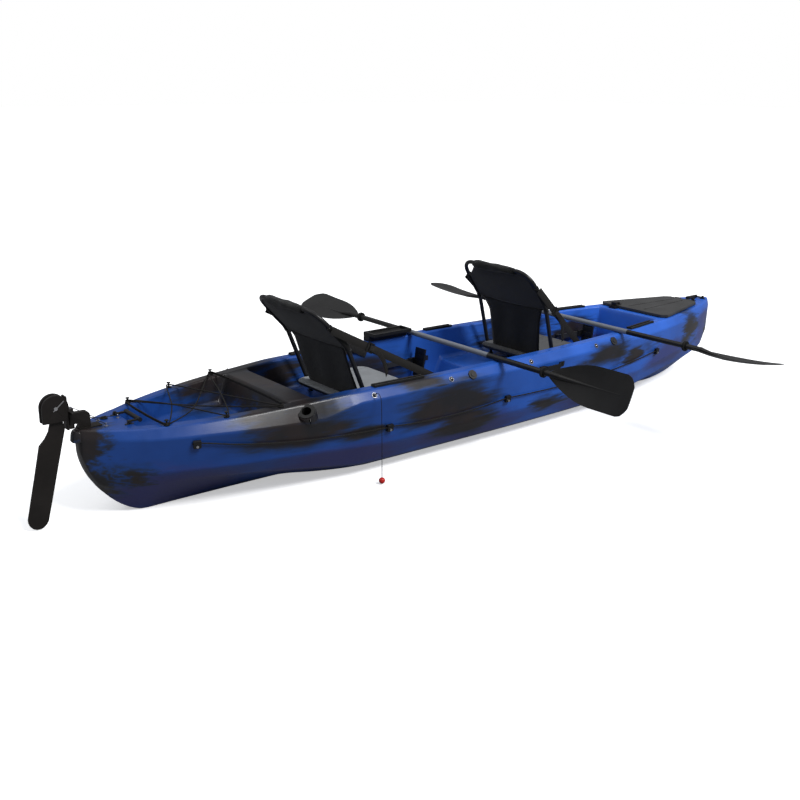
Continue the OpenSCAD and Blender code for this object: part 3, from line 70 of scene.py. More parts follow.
class Wire:
    """A socket of a node tree. Operators on it add Math nodes, and node() adds any other node."""

    def __init__(self, tree, socket=None):
        self.tree = tree
        self.socket = socket

    def node(self, kind, settings=None, sockets=None, out=0):
        """Add a node of a type, with its settings first and then the values or wires of its sockets."""
        made = self.tree.nodes.new(kind)
        for key, value in (settings or {}).items():
            setattr(made, key, value)
        for key, value in (sockets or {}).items():
            if isinstance(value, Wire):
                self.tree.links.new(value.socket, made.inputs[key])
            else:
                made.inputs[key].default_value = value
        return Wire(self.tree, made.outputs[out])

    def math(self, operation, a, b=0.0):
        return self.node("ShaderNodeMath", {"operation": operation}, {0: a, 1: b})

    def __add__(self, other):
        return self.math("ADD", self, other)

    __radd__ = __add__

    def __sub__(self, other):
        return self.math("SUBTRACT", self, other)

    def __rsub__(self, other):
        return self.math("SUBTRACT", other, self)

    def __mul__(self, other):
        return self.math("MULTIPLY", self, other)

    __rmul__ = __mul__

    def __truediv__(self, other):
        return self.math("DIVIDE", self, other)

    def __rtruediv__(self, other):
        return self.math("DIVIDE", other, self)

    def sine(self):
        return self.math("SINE", self)

    def absolute(self):
        return self.math("ABSOLUTE", self)

    def wave(self, length):
        """Sine that repeats after a length."""
        return (self * (2 * math.pi / length)).sine()

    def least(self, other):
        return self.math("MINIMUM", self, other)

    def most(self, other):
        return self.math("MAXIMUM", self, other)

    def ease(self, low, high):
        """0 below low, 1 above high and smooth between."""
        return self.node("ShaderNodeMapRange", {"interpolation_type": "SMOOTHSTEP"},
                         {"Value": self, "From Min": low, "From Max": high})

    def part(self, axis):
        """X, Y or Z of a vector."""
        return self.node("ShaderNodeSeparateXYZ", None, {0: self}, axis)

    def vector(self, operation, *others, out=0):
        """Vector Math on this vector and others."""
        return self.node("ShaderNodeVectorMath", {"operation": operation},
                         dict(enumerate((self, *others))), out)

    def spread(self, factors):
        """This vector with its parts multiplied."""
        return self.vector("MULTIPLY", factors)

    def noise(self, scale, detail=3.0, roughness=0.55, out=0):
        """Noise over this vector, as a value or, with out 1, as a colour."""
        return self.node("ShaderNodeTexNoise", None,
                         {"Vector": self, "Scale": scale, "Detail": detail, "Roughness": roughness}, out)

    def colour(self, a, b):
        """Colour a where this value is 0 and colour b where it is 1."""
        return self.node("ShaderNodeMix", {"data_type": "RGBA"}, {0: self, 6: a, 7: b}, out=2)

    def shades(self, colour, low, high):
        """A colour times low where this value is 0, and times high where it is 1."""
        return self.colour(rgba(colour, low), rgba(colour, high))

    def bump(self, strength, distance):
        """Normal of this height."""
        return self.node("ShaderNodeBump", None,
                         {"Strength": strength, "Distance": distance, "Height": self})


def rgba(colour, factor=1.0, lift=0.0):
    """A colour times a factor, lifted towards white, with full alpha."""
    return (*[min(1.0, c * factor + lift) for c in colour[:3]], 1.0)


def tinted(colour, factors):
    return [c * f for c, f in zip(colour, factors)]


def finish(name, paint, **constants):
    """Material whose Principled shader takes the wires that paint() returns and the given constants."""
    material = bpy.data.materials.new(name)
    material.use_nodes = True
    tree = material.node_tree
    shader = tree.nodes["Principled BSDF"]
    for key, value in constants.items():
        shader.inputs[key.replace("_", " ").title().replace("Ior", "IOR")].default_value = value
    place, chart = (Wire(tree).node("ShaderNodeTexCoord", out=kind) for kind in ("Object", "UV"))
    for key, wire in paint(place, chart).items():
        tree.links.new(wire.socket, shader.inputs[key])
    return material


def moulded(name, colour, rough=0.5, grain=0.35, specular=0.35):
    """Moulded plastic with a fine grain, uneven gloss and faint scuffs."""
    def paint(place, chart):
        cloud = place.noise(9.0, 4.0)
        grit = place.noise(420.0, 2.0) * 0.6 + place.noise(1400.0, 1.0) * 0.4
        scuff = place.spread((30.0, 90.0, 160.0)).noise(1.0, 5.0, 0.7).ease(0.60, 0.72)
        tone = cloud.ease(0.3, 0.7).shades(colour, 0.8, 1.15)
        return {
            "Base Color": (scuff * 0.35).colour(tone, rgba(colour, 1.6, 0.012)),
            "Roughness": (cloud - 0.5) * 0.25 + rough + scuff * 0.08,
            "Normal": grit.bump(grain, 0.0006),
        }
    return finish(name, paint, specular_ior_level=specular)


def metal(name, colour, rough=0.26):
    """Bright drawn steel with fine lines along it."""
    def paint(place, chart):
        line = place.spread((60.0, 900.0, 900.0)).noise(1.0, 3.0)
        stain = place.noise(35.0, 3.0)
        return {
            "Base Color": stain.ease(0.35, 0.75).shades(colour, 1.0, 0.78),
            "Roughness": line * 0.18 + stain * 0.12 + (rough - 0.12),
            "Normal": line.bump(0.12, 0.0003),
        }
    return finish(name, paint, metallic=1.0)


def coated_tube(name, colour, rough=0.36):
    """Powder-coated tube with a faint orange peel and rubbed places."""
    def paint(place, chart):
        peel = place.noise(260.0, 2.0)
        rub = place.noise(14.0, 5.0, 0.7).ease(0.62, 0.78)
        return {
            "Base Color": (rub * 0.4).colour(rgba(colour), rgba(colour, 2.2, 0.01)),
            "Roughness": peel * 0.14 + (rough - 0.07) + rub * 0.1,
            "Normal": peel.bump(0.18, 0.0005),
        }
    return finish(name, paint, specular_ior_level=0.4)


def braided(name, colour, pitch, strands=4):
    """Braided cord: two sets of strands that cross, over the chart's turns and length."""
    def paint(place, chart):
        turn = chart.part(0) * (2 * math.pi * strands)
        run = chart.part(1) * (2 * math.pi / pitch)
        strand = (turn + run).sine().most((turn - run).sine()).ease(-0.2, 1.0)
        fleck = place.noise(700.0, 2.0)
        return {
            "Base Color": (strand * 0.8 + fleck * 0.2).shades(colour, 0.45, 1.5),
            "Roughness": fleck * 0.2 + 0.62,
            "Normal": strand.bump(0.7, 0.0008),
        }
    return finish(name, paint, specular_ior_level=0.25)


def woven(name, colour, pitch, gap_shade, stitches=(), stitch=0.008):
    """Plain weave over the chart, in metres, with painted shade in the gaps between the threads and rows
    of stitches at distances from its middle line.
    """
    def paint(place, chart):
        across, down = chart.part(0), chart.part(1)
        cloth = (across.wave(pitch) * down.wave(pitch) * 0.5 + 0.5).ease(0.05, 0.95)
        wear = place.noise(11.0, 4.0)
        tone = wear.ease(0.3, 0.72).shades(colour, 0.82, 1.14)
        # Painted shade: the gaps between the threads are darkened
        painted_gap_shade = cloth.shades(colour, 1.0 - gap_shade, 1.05)
        surface, height = (cloth * 0.5 + 0.25).colour(painted_gap_shade, tone), cloth
        for distance, width in stitches:
            seam = (across.absolute() - distance).absolute().ease(0.0, width)
            dash = down.wave(stitch).ease(-0.2, 0.2)
            surface = (1 - seam).colour(surface, rgba(colour, 0.35))
            height = height * 0.4 + seam * 0.9 + (1 - seam) * dash * 0.3
        return {
            "Base Color": surface,
            "Roughness": wear * 0.15 + 0.74,
            "Normal": height.bump(0.5, 0.001),
        }
    return finish(name, paint, specular_ior_level=0.2, sheen_weight=0.15, sheen_roughness=0.5)


def webbing(name, colour, rib=0.0035, slant=500.0):
    """Flat webbing with slanted ribs across it and bound edges."""
    def paint(place, chart):
        across, down = chart.part(0), chart.part(1)
        ribs = (down * (2 * math.pi / rib) + across * slant).sine() * 0.5 + 0.5
        edge = (across - 0.5).absolute().ease(0.40, 0.46)
        fleck = place.noise(300.0, 2.0)
        return {
            "Base Color": (ribs * 0.7 + fleck * 0.3).shades(colour, 0.55, 1.6),
            "Roughness": fleck * 0.2 + 0.58,
            "Normal": (ribs * 0.7 + edge * 0.6).bump(0.6, 0.0008),
        }
    return finish(name, paint, specular_ior_level=0.3)


# Soft dark patches of the hull: centre along the hull, out from the middle and up, then reach each way
HULL_PATCHES = (
    ((-2.150, 0.00, 0.22), (0.115, 0.30, 0.26)),
    ((-2.160, 0.02, 0.385), (0.125, 0.17, 0.09)),
    ((-1.985, 0.08, 0.20), (0.080, 0.20, 0.06)),
    ((-1.290, 0.30, 0.42), (0.290, 0.60, 0.09)),
    ((-1.270, 0.42, 0.31), (0.300, 0.30, 0.085)),
    ((-1.230, 0.10, 0.40), (0.170, 0.30, 0.14)),
    ((-0.980, 0.40, 0.26), (0.170, 0.20, 0.035)),
    ((-0.430, 0.42, 0.30), (0.290, 0.25, 0.110)),
    ((-0.300, 0.38, 0.17), (0.220, 0.25, 0.080)),
    ((-0.600, 0.38, 0.44), (0.150, 0.12, 0.040)),
    ((0.300, 0.40, 0.17), (0.120, 0.20, 0.055)),
    ((0.760, 0.39, 0.36), (0.210, 0.20, 0.075)),
    ((1.020, 0.34, 0.30), (0.110, 0.20, 0.055)),
    ((1.730, 0.20, 0.34), (0.125, 0.20, 0.130)),
    ((2.060, 0.03, 0.28), (0.070, 0.12, 0.090)),
    ((-0.960, 0.34, 0.36), (0.150, 0.06, 0.080)),
    ((0.560, 0.34, 0.36), (0.200, 0.06, 0.080)),
    ((1.150, 0.25, 0.33), (0.150, 0.08, 0.080)),
    ((-0.620, 0.00, 0.28), (0.200, 0.30, 0.030)),
    ((0.620, 0.00, 0.28), (0.220, 0.30, 0.030)),
)
# Wider and fainter stains low on the hull
HULL_STAINS = (
    ((-1.800, 0.12, 0.10), (0.360, 0.35, 0.14)),
    ((-1.050, 0.35, 0.12), (0.480, 0.30, 0.09)),
    ((-0.250, 0.38, 0.12), (0.480, 0.30, 0.10)),
    ((0.700, 0.34, 0.14), (0.400, 0.30, 0.09)),
    ((1.450, 0.25, 0.22), (0.300, 0.30, 0.10)),
    ((2.000, 0.08, 0.30), (0.200, 0.30, 0.13)),
)
# Factors on the blue at the stern (painted shade), at the bow (painted light) and round the patches, and
# on the patches' warmer dark
STERN_PAINTED_SHADE = (0.72, 0.72, 0.72)
BOW_PAINTED_LIGHT = (2.6, 1.85, 1.75)
NAVY_TINT = (0.9, 0.36, 0.17)
WARM_TINT = (1.7, 1.25, 1.0)


def hull_finish(blue, dark, stain):
    """Moulded polyethylene marbled lengthwise in blue, navy and near-black, with a satin orange peel, and
    painted shade at the stern that turns to painted light towards the bow.
    """
    def paint(place, chart):
        def shifted(vector, stretch, scale, reach):
            """The vector pushed about by noise that is stretched along the hull."""
            push = place.spread(stretch).noise(scale, 4.0, 0.6, out=1)
            return push.vector("SUBTRACT", (0.5, 0.5, 0.5)).vector("MULTIPLY_ADD", reach, vector)

        def nearest(spots):
            """Distance to the nearest spot, as a share of its reach."""
            found = None
            for centre, reach in spots:
                far = folded.vector("SUBTRACT", centre).vector("DIVIDE", reach).vector("LENGTH", out=1)
                found = far if found is None else found.least(far)
            return found

        moved = shifted(place, (0.5, 1.5, 2.0), 4.0, (0.34, 0.14, 0.12))
        moved = shifted(moved, (0.35, 2.0, 3.2), 14.0, (0.30, 0.03, 0.035))
        folded = place.node("ShaderNodeCombineXYZ", None,
                            {0: moved.part(0), 1: moved.part(1).absolute(), 2: moved.part(2)})
        streak = place.spread((2.2, 9.0, 18.0)).noise(1.0, 5.0, 0.6)
        reached = nearest(HULL_PATCHES) + (streak - 0.5) * 0.8
        halo = 1 - reached.ease(0.75, 1.35)
        patch = 1 - reached.ease(0.55, 1.05)
        wash = 1 - (nearest(HULL_STAINS) + (streak - 0.5) * 0.9).ease(0.45, 1.25)
        depth = place.noise(3.5, 3.0).ease(0.3, 0.7)
        # fore rises from stern to bow: the blue goes from painted shade at the stern to a lighter, whiter
        # painted light at the bow
        fore = place.part(0).ease(-1.5, 1.3)
        shaded_aft_blue, lit_fore_blue = tinted(blue, STERN_PAINTED_SHADE), tinted(blue, BOW_PAINTED_LIGHT)
        base = depth.colour(*[fore.colour(rgba(shaded_aft_blue, k), rgba(lit_fore_blue, k)) for k in (0.86, 1.14)])
        washed = (wash * 0.75).colour(base, rgba(stain))
        navy = (halo * 0.75).colour(washed, rgba(tinted(blue, NAVY_TINT)))
        warm = place.noise(6.0, 2.0).ease(0.4, 0.65)
        marbled = (patch * 0.96).colour(navy, warm.colour(rgba(dark), rgba(tinted(dark, WARM_TINT))))
        peel = place.noise(190.0, 2.0)
        scratch = place.spread((7.0, 60.0, 90.0)).noise(1.0, 6.0, 0.75).ease(0.60, 0.70)
        return {
            "Base Color": (scratch * 0.08).colour(marbled, rgba(blue, 1.5, 0.03)),
            "Roughness": peel * 0.10 + place.noise(7.0, 3.0) * 0.16 + 0.20 + scratch * 0.12,
            "Normal": (peel * 0.7 + place.noise(28.0, 2.0) * 0.9).bump(0.10, 0.002),
        }
    return finish("hull_marbled_polyethylene", paint, specular_ior_level=0.45)


# Mesh tools

def add_piece(name, points, faces, material, chart=None, sharp=None):
    """Smooth object from points in the shared frame, with a chart for each point where one is given."""
    mesh = bpy.data.meshes.new(name)
    mesh.from_pydata([tuple(map(float, p)) for p in points], [], [tuple(map(int, f)) for f in faces])
    if chart is not None:
        layer = mesh.uv_layers.new(name="chart")
        flat = np.asarray(chart, np.float32)[[v for p in mesh.polygons for v in p.vertices]]
        layer.data.foreach_set("uv", flat.ravel())
    mesh.validate()
    bm = bmesh.new()
    bm.from_mesh(mesh)
    bmesh.ops.recalc_face_normals(bm, faces=bm.faces)
    bm.to_mesh(mesh)
    bm.free()
    mesh.shade_smooth()
    if sharp is not None:
        mesh.set_sharp_from_angle(angle=math.radians(sharp))
    obj = bpy.data.objects.new(name, mesh)
    bpy.context.scene.collection.objects.link(obj)
    mesh.materials.append(material)
    return obj


def attach(piece, body, node=None):
    """Let a piece move with a body and, where given, stand for a CAD node, which is hidden."""
    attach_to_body(piece, body)
    if node:
        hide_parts(node)


def metres(points):
    """Points given in millimetres, as lists in metres."""
    return [[float(v) * MM for v in p] for p in points]


def clamped(value):
    return min(1.0, max(0.0, value))


def smooth_route(points, step):
    """Points along a smooth curve through the given ones, about a step apart."""
    p = np.asarray(points, float)
    ends = np.vstack([2 * p[0] - p[1], p, 2 * p[-1] - p[-2]])
    out = []
    for i in range(1, len(ends) - 2):
        a, b, c, d = ends[i - 1:i + 3]
        n = max(2, int(np.ceil(np.linalg.norm(c - b) / step)))
        la, lb, lc = (max(np.linalg.norm(v) ** 0.5, 1e-6) for v in (b - a, c - b, d - c))
        m1 = lb * ((b - a) / la - (c - a) / (la + lb) + (c - b) / lb)
        m2 = lb * ((c - b) / lb - (d - b) / (lb + lc) + (d - c) / lc)
        for t in np.arange(n) / n:
            out.append((2 * t**3 - 3 * t**2 + 1) * b + (t**3 - 2 * t**2 + t) * m1
                       + (3 * t**2 - 2 * t**3) * c + (t**3 - t**2) * m2)
    out.append(p[-1])
    return np.array(out)


def closed_route(points, step):
    """Points along a smooth closed curve through the given ones."""
    looped = smooth_route([*points[-2:], *points, *points[:2]], step)
    off_start = np.linalg.norm(looped - np.asarray(points[0]), axis=1)
    return looped[np.argmin(off_start):len(looped) - 1 - np.argmin(off_start[::-1])]


def run_along(path):
    """Distance of each point of a path from its start."""
    return np.concatenate([[0], np.cumsum(np.linalg.norm(np.diff(path, axis=0), axis=1))])


def frames_along(path, closed):
    """Side and up directions along a path, turned as little as possible."""
    tangent = np.roll(path, -1, 0) - np.roll(path, 1, 0) if closed else np.gradient(path, axis=0)
    tangent /= np.linalg.norm(tangent, axis=1)[:, None]
    side = np.cross(tangent[0], (0, 0, 1) if abs(tangent[0][2]) < 0.9 else (1, 0, 0))
    sides = []
    for t in tangent:
        side = side - t * (side @ t)
        side = side / np.linalg.norm(side)
        sides.append(side)
    return np.array(sides), np.cross(sides, tangent)


def grid_faces(rows, columns):
    return [(a, a + 1, a + columns + 1, a + columns)
            for i in range(rows - 1) for a in range(i * columns, (i + 1) * columns - 1)]


def ring_faces(rings, count, first=0, closed=False, capped=True):
    """Faces between rings of count points, numbered from first, with caps on open ends."""
    starts = [first + i * count for i in range(rings)]
    faces = []
    for near, far in zip(starts, starts[1:] + (starts[:1] if closed else [])):
        for j in range(count):
            on = (j + 1) % count
            faces.append((near + j, near + on, far + on, far + j))
    if capped and not closed:
        faces.append(tuple(range(first + count - 1, first - 1, -1)))
        faces.append(tuple(range(starts[-1], starts[-1] + count)))
    return faces


def circle(radius, count):
    turn = np.arange(count) * 2 * math.pi / count
    return radius * np.stack([np.cos(turn), np.sin(turn)], 1)


def swept(name, path, outlines, material, girth=1.0, sharp=None, closed=False, capped=True):
    """Piece with an outline of (side, up) points along a path, charted round it by girth and along it."""
    sides, ups = frames_along(path, closed)
    run = run_along(path)
    points, chart = [], []
    for i, outline in enumerate(outlines):
        for j, (a, b) in enumerate(outline):
            points.append(path[i] + a * sides[i] + b * ups[i])
            chart.append((girth * j / len(outline), run[i]))
    faces = ring_faces(len(path), len(points) // len(path), closed=closed, capped=capped)
    return add_piece(name, points, faces, material, chart, sharp)


def cord_piece(name, path, diameter, closed=False):
    """Braided cord of a diameter along a path."""
    outlines = [circle(diameter / 2, CORD_SIDES)] * len(path)
    return swept(name, path, outlines, finish_of("cord"), closed=closed)


def thicken(cloth, thickness, offset=0.0):
    mod = cloth.modifiers.new("cloth_thickness", "SOLIDIFY")
    mod.thickness = thickness
    mod.offset = offset
    mod.use_even_offset = True


def dress(name, material, soften=0.0, angle=40.0):
    """Give a solid node its material and, with soften, a rounded line along its sharp edges."""
    node = NODES[name]
    mesh = node.data
    mesh.materials.clear()
    mesh.materials.append(material)
    if soften:
        if "custom_normal" in mesh.attributes:
            mesh.attributes.remove(mesh.attributes["custom_normal"])
        mesh.polygons.foreach_set("use_smooth", [True] * len(mesh.polygons))
        weld = node.modifiers.new("joined", "WELD")
        weld.merge_threshold = WELD_GAP
        bevel = node.modifiers.new("softened", "BEVEL")
        bevel.width = soften
        bevel.segments = 2
        bevel.limit_method = "ANGLE"
        bevel.angle_limit = math.radians(angle)
        bevel.harden_normals = True


# Lines of the hull, in millimetres, as the solid model has them

HALF_LEN = 2145.0
BEAM = 860.0
GUNWALE_W = 62.0
STERN_END_W = 76.0
BOW_END_W = 44.0
CAP_RUN = 16.0
STERN_ROCKER, BOW_ROCKER = 265.0, 640.0
ROCKER_RISE, ROCKER_POWER = 330.0, 1.7
STERN_FLAT, BOW_FLAT, FLAT_FADE = 1250.0, 1400.0, 450.0
KEEL_HALF, KEEL_SHARE = 50.0, 0.3
LOWER_SHARE, UPPER_SHARE = 0.75, 0.9
RIM_EDGE, RIM_EDGE_SHARE, RIM_DROP = 8.0, 0.15, 0.75
WELL_FADE, WELL_GAP, WELL_LEAN = 40.0, 4.0, 0.12
WELL_CORNER, WELL_CORNER_SHARE = 18.0, 0.2
HEADING_STEP = 15.0
STATIONS = 96
BOTTOM_RIBS = ((0.24, 18.0), (0.34, 0.0), (0.46, 0.0))
RIM_LINE = ((-1905, 410), (-1000, 450))
DROP_LINE = ((-2145, 36), (-1700, 50), (-1150, 84), (-950, 45), (1845, 45), (2145, 34))
INSET_LINE = ((-2145, 12), (-1900, 30), (-1200, 34), (-950, 30), (1700, 26), (2145, 8))
LOWER_LINE = ((-2145, 160), (-1700, 158), (-1450, 138), (-900, 62), (900, 62), (1500, 125), (2145, 170))
UPPER_LINE = ((-2145, 214), (-1250, 202), (-800, 168), (800, 168), (1500, 215), (2145, 250))
FLOOR_LINE = (
    (-2145, 410), (-1920, 410), (-1860, 300), (-1330, 300), (-1270, 436), (-1150, 436), (-1090, 285),
    (-400, 285), (-340, 165), (50, 165), (115, 285), (845, 285), (905, 165), (1300, 165), (1355, 450),
    (1430, 450), (1445, 230), (1855, 230), (1870, 450), (2145, 450))
SECTION_ROUND = (0, 10, 14, 14, 10, 12, 10, 9, 4, 4, 4, 4, 7, 7, 0)
ROD_MID = (-1235.0, 377.757, 397.241)
ROD_AXIS = (-0.456773, 0.406737, 0.791154)
SCUPPERS = ((-150.0, 172.0), (940.0, 149.8))


def along(line, x):
    return float(np.interp(x, *zip(*line)))


def shoulder_y(x):
    t = min(1.0, abs(x) / HALF_LEN)
    p, q, end = (4, 0.75, STERN_END_W) if x < 0 else (2, 0.65, BOW_END_W)
    return math.hypot(BEAM / 2 * (1 - t**p) ** q, t * end / 2)


def keel_z(x):
    run = STERN_ROCKER if x < 0 else BOW_ROCKER
    t = clamped((abs(x) - HALF_LEN + run) / run)
    return ROCKER_RISE * (1 - (1 - t**ROCKER_POWER) ** (1 / ROCKER_POWER))


def rim_z(x):
    return along(RIM_LINE, x)


def shoulder_z(x):
    return max(rim_z(x) - along(DROP_LINE, x), keel_z(x) + 24)


def upper_z(x):
    return min(max(along(UPPER_LINE, x), keel_z(x) + 16), shoulder_z(x) - 8)


def lower_z(x):
    return min(max(along(LOWER_LINE, x), keel_z(x) + 8), upper_z(x) - 8)


def rim_y(x):
    return shoulder_y(x) - along(INSET_LINE, x)


def rim_edge(x):
    """Size of the bevel along the rim."""
    return min(RIM_EDGE, RIM_EDGE_SHARE * rim_y(x))


def well_y(x):
    return max(rim_y(x) - GUNWALE_W, 0.35 * rim_y(x))


def side_y(x, z):
    rise = (z - upper_z(x)) / (shoulder_z(x) - upper_z(x))
    return shoulder_y(x) * (UPPER_SHARE + (1 - UPPER_SHARE) * rise)


def side_lean(x):
    return math.atan2((1 - UPPER_SHARE) * shoulder_y(x), shoulder_z(x) - upper_z(x))


def side_axes(width, x, lean):
    """Directions along and straight out of a port side of width(x) that leans by an angle."""
    turn = math.atan2(width(x + HEADING_STEP) - width(x - HEADING_STEP), 2 * HEADING_STEP)
    run = np.array((math.cos(turn), math.sin(turn), 0.0))
    return run, np.array((-run[1] * math.cos(lean), run[0] * math.cos(lean), math.sin(lean)))


def soft_floor_z(x):
    """Height of the well floor with its bulkhead edges rounded."""
    return float(np.mean([along(FLOOR_LINE, x + d) for d in (-6, -3, 0, 3, 6)]))


def bottom_z(x, y, rise):
    """Height of the bottom: a vee at the ends, and level at a rise over the keel amidships."""
    w = LOWER_SHARE * shoulder_y(x)
    k = min(KEEL_HALF, KEEL_SHARE * w)
    vee = keel_z(x) + (lower_z(x) - keel_z(x)) * (y - k) / (w - k)
    level = clamped(((STERN_FLAT if x < 0 else BOW_FLAT) - abs(x)) / FLAT_FADE)
    return vee + (keel_z(x) + rise - vee) * level


def hull_half(x):
    """Port half of the cross-section from the keel round to the deck centre, with rounded corners."""
    w, zg, wg, wi, zf, e = shoulder_y(x), rim_z(x), rim_y(x), well_y(x), soft_floor_z(x), rim_edge(x)
    sunk = clamped((zg - zf) / WELL_FADE)
    wf = wi - WELL_GAP - WELL_LEAN * max(0.0, zg - zf)
    c = min(WELL_CORNER, WELL_CORNER_SHARE * wf)
    raw = np.array([
        (0, keel_z(x)), (min(KEEL_HALF, KEEL_SHARE * LOWER_SHARE * w), keel_z(x)),
        *[(s * w, bottom_z(x, s * w, rise)) for s, rise in BOTTOM_RIBS],
        (LOWER_SHARE * w, lower_z(x)), (UPPER_SHARE * w, upper_z(x)), (w, shoulder_z(x)),
        (wg, zg - RIM_DROP * e), (wg - e, zg), (wi + e, zg), (wi, zg - RIM_DROP * e * sunk),
        (wf, zf + c * sunk), (wf - c, zf), (0, zf)])
    out = [raw[0]]
    for i in range(1, len(raw) - 1):
        back, on = raw[i - 1] - raw[i], raw[i + 1] - raw[i]
        lb, lo = max(np.linalg.norm(back), 1e-6), max(np.linalg.norm(on), 1e-6)
        r = min(SECTION_ROUND[i], 0.42 * lb, 0.42 * lo)
        a, b = raw[i] + back * r / lb, raw[i] + on * r / lo
        out += [a, 0.25 * a + 0.5 * raw[i] + 0.25 * b, b]
    out.append(raw[-1])
    return np.array(out)


def hull_stations():
    """Places of the cross-sections, close together at the stems and at the bulkheads."""
    even = [-HALF_LEN * math.cos(math.pi * i / STATIONS) for i in range(STATIONS + 1)]
    near = [x + d for x, _ in FLOOR_LINE[1:-1] for d in (-7, -3.5, 0, 3.5, 7)]
    ends = [s * (HALF_LEN - d) for s in (-1, 1) for d in (0, 1.2, 4, 8, 12, CAP_RUN)]
    lines = (RIM_LINE, DROP_LINE, INSET_LINE, LOWER_LINE, UPPER_LINE)
    kinks = [x for line in lines for x, _ in line]
    found = []
    for x in sorted(set(near + ends)) + sorted(set(even + kinks)):
        apart = 1.0 if x in near or x in ends else 9.0
        if abs(x) <= HALF_LEN and all(abs(x - f) > apart for f in found):
            found.append(x)
    return sorted(found)


def hull_mesh():
    """Points and faces of the hull's skin."""
    stations, points = hull_stations(), []
    for x in stations:
        half = hull_half(x)
        d = max(0.0, abs(x) - (HALF_LEN - CAP_RUN)) / CAP_RUN
        half[:, 0] *= 0.25 + 0.75 * math.sqrt(max(0.0, 1 - d * d))
        ring = np.vstack([half, half[-2:0:-1] * (-1, 1)])
        points += [(x * MM, y * MM, z * MM) for y, z in ring]
    return points, ring_faces(len(stations), len(ring))


def drum(centre, axis, r_low, r_high, low, high):
    """Scratch object: a drum along an axis between two distances from a centre, in millimetres."""
    mesh = bpy.data.meshes.new("drum")
    bm = bmesh.new()
    bmesh.ops.create_cone(bm, cap_ends=True, segments=DRUM_SIDES, radius1=r_low * MM,
                          radius2=r_high * MM, depth=(high - low) * MM)
    up = Vector(axis).normalized()
    place = Vector(centre) * MM + up * ((low + high) / 2 * MM)
    bm.transform(Matrix.Translation(place) @ up.to_track_quat("Z", "Y").to_matrix().to_4x4())
    bm.to_mesh(mesh)
    bm.free()
    obj = bpy.data.objects.new("drum", mesh)
    bpy.context.scene.collection.objects.link(obj)
    return obj


def join_and_cut(obj, joined, cut):
    """Join drums to a piece and cut others from it, for good."""
    groups = []
    for operation, drums in (("UNION", joined), ("DIFFERENCE", cut)):
        group = bpy.data.collections.new(operation.lower())
        bpy.context.scene.collection.children.link(group)
        groups.append(group)
        for o in drums:
            group.objects.link(o)
        mod = obj.modifiers.new(operation.lower(), "BOOLEAN")
        mod.operation = operation
        mod.operand_type = "COLLECTION"
        mod.collection = group
        mod.solver = "EXACT"
    old, graph = obj.data, bpy.context.evaluated_depsgraph_get()
    mesh = bpy.data.meshes.new_from_object(obj.evaluated_get(graph))
    obj.modifiers.clear()
    obj.data = mesh
    bpy.data.meshes.remove(old)
    for o in joined + cut:
        bpy.data.objects.remove(o)
    for group in groups:
        bpy.data.collections.remove(group)


# Seat frames, in millimetres

SEATS = {"rear": (-820.0, 22.0), "front": (440.0, 14.0)}
SEAT_Z = 345.0
TUBE_R = 11.0
RAIL_Y = 240.0
SEAT_DEPTH = 410.0
SEAT_BACK_OF_PIVOT = 75.0
FRAME_CORNER = 45.0
BACK_Y = 265.0
BACK_LEN = 560.0
BACK_CORNER = 90.0
BEND_AT = 290.0
BEND_R = 120.0
BEND = math.radians(21)
SEAM_V = 300.0
CORNER_POINTS, SIDE_POINTS = 7, 8


def on_back(seat, y, v, n):
    """Point of a seat's bent back, in metres: y across, v up from the pivot, n forward of the tubes."""
    x0, recline = SEATS[seat]
    turn = min(BEND, max(0.0, (v - BEND_AT) / BEND_R))
    past = max(0.0, v - BEND_AT - BEND_R * BEND)
    x = BEND_R * (math.cos(turn) - 1) - past * math.sin(turn) + n * math.cos(turn)
    z = min(v, BEND_AT) + BEND_R * math.sin(turn) + past * math.cos(turn) + n * math.sin(turn)
    a = math.radians(recline)
    return ((x0 + x * math.cos(a) - z * math.sin(a)) * MM, y * MM,
            (SEAT_Z + x * math.sin(a) + z * math.cos(a)) * MM)


def seat_path(offset):
    """(x, y) round a seat frame's tube centre, pushed outward, with x from the frame's rear."""
    c, out = FRAME_CORNER, []
    fore, side = SEAT_DEPTH - c, RAIL_Y - c
    middles = ((fore, side), (c, side), (c, -side), (fore, -side))

    def on_corner(k, degrees):
        a = math.radians(90 * k + degrees)
        return np.array(middles[k % 4]) + (c + offset) * np.array((math.cos(a), math.sin(a)))

    for k in range(4):
        out += [on_corner(k, a) for a in np.linspace(0, 90, CORNER_POINTS)]
        out += list(np.linspace(on_corner(k, 90), on_corner(k + 1, 0), SIDE_POINTS)[1:-1])
    return np.array(out)


# Settings

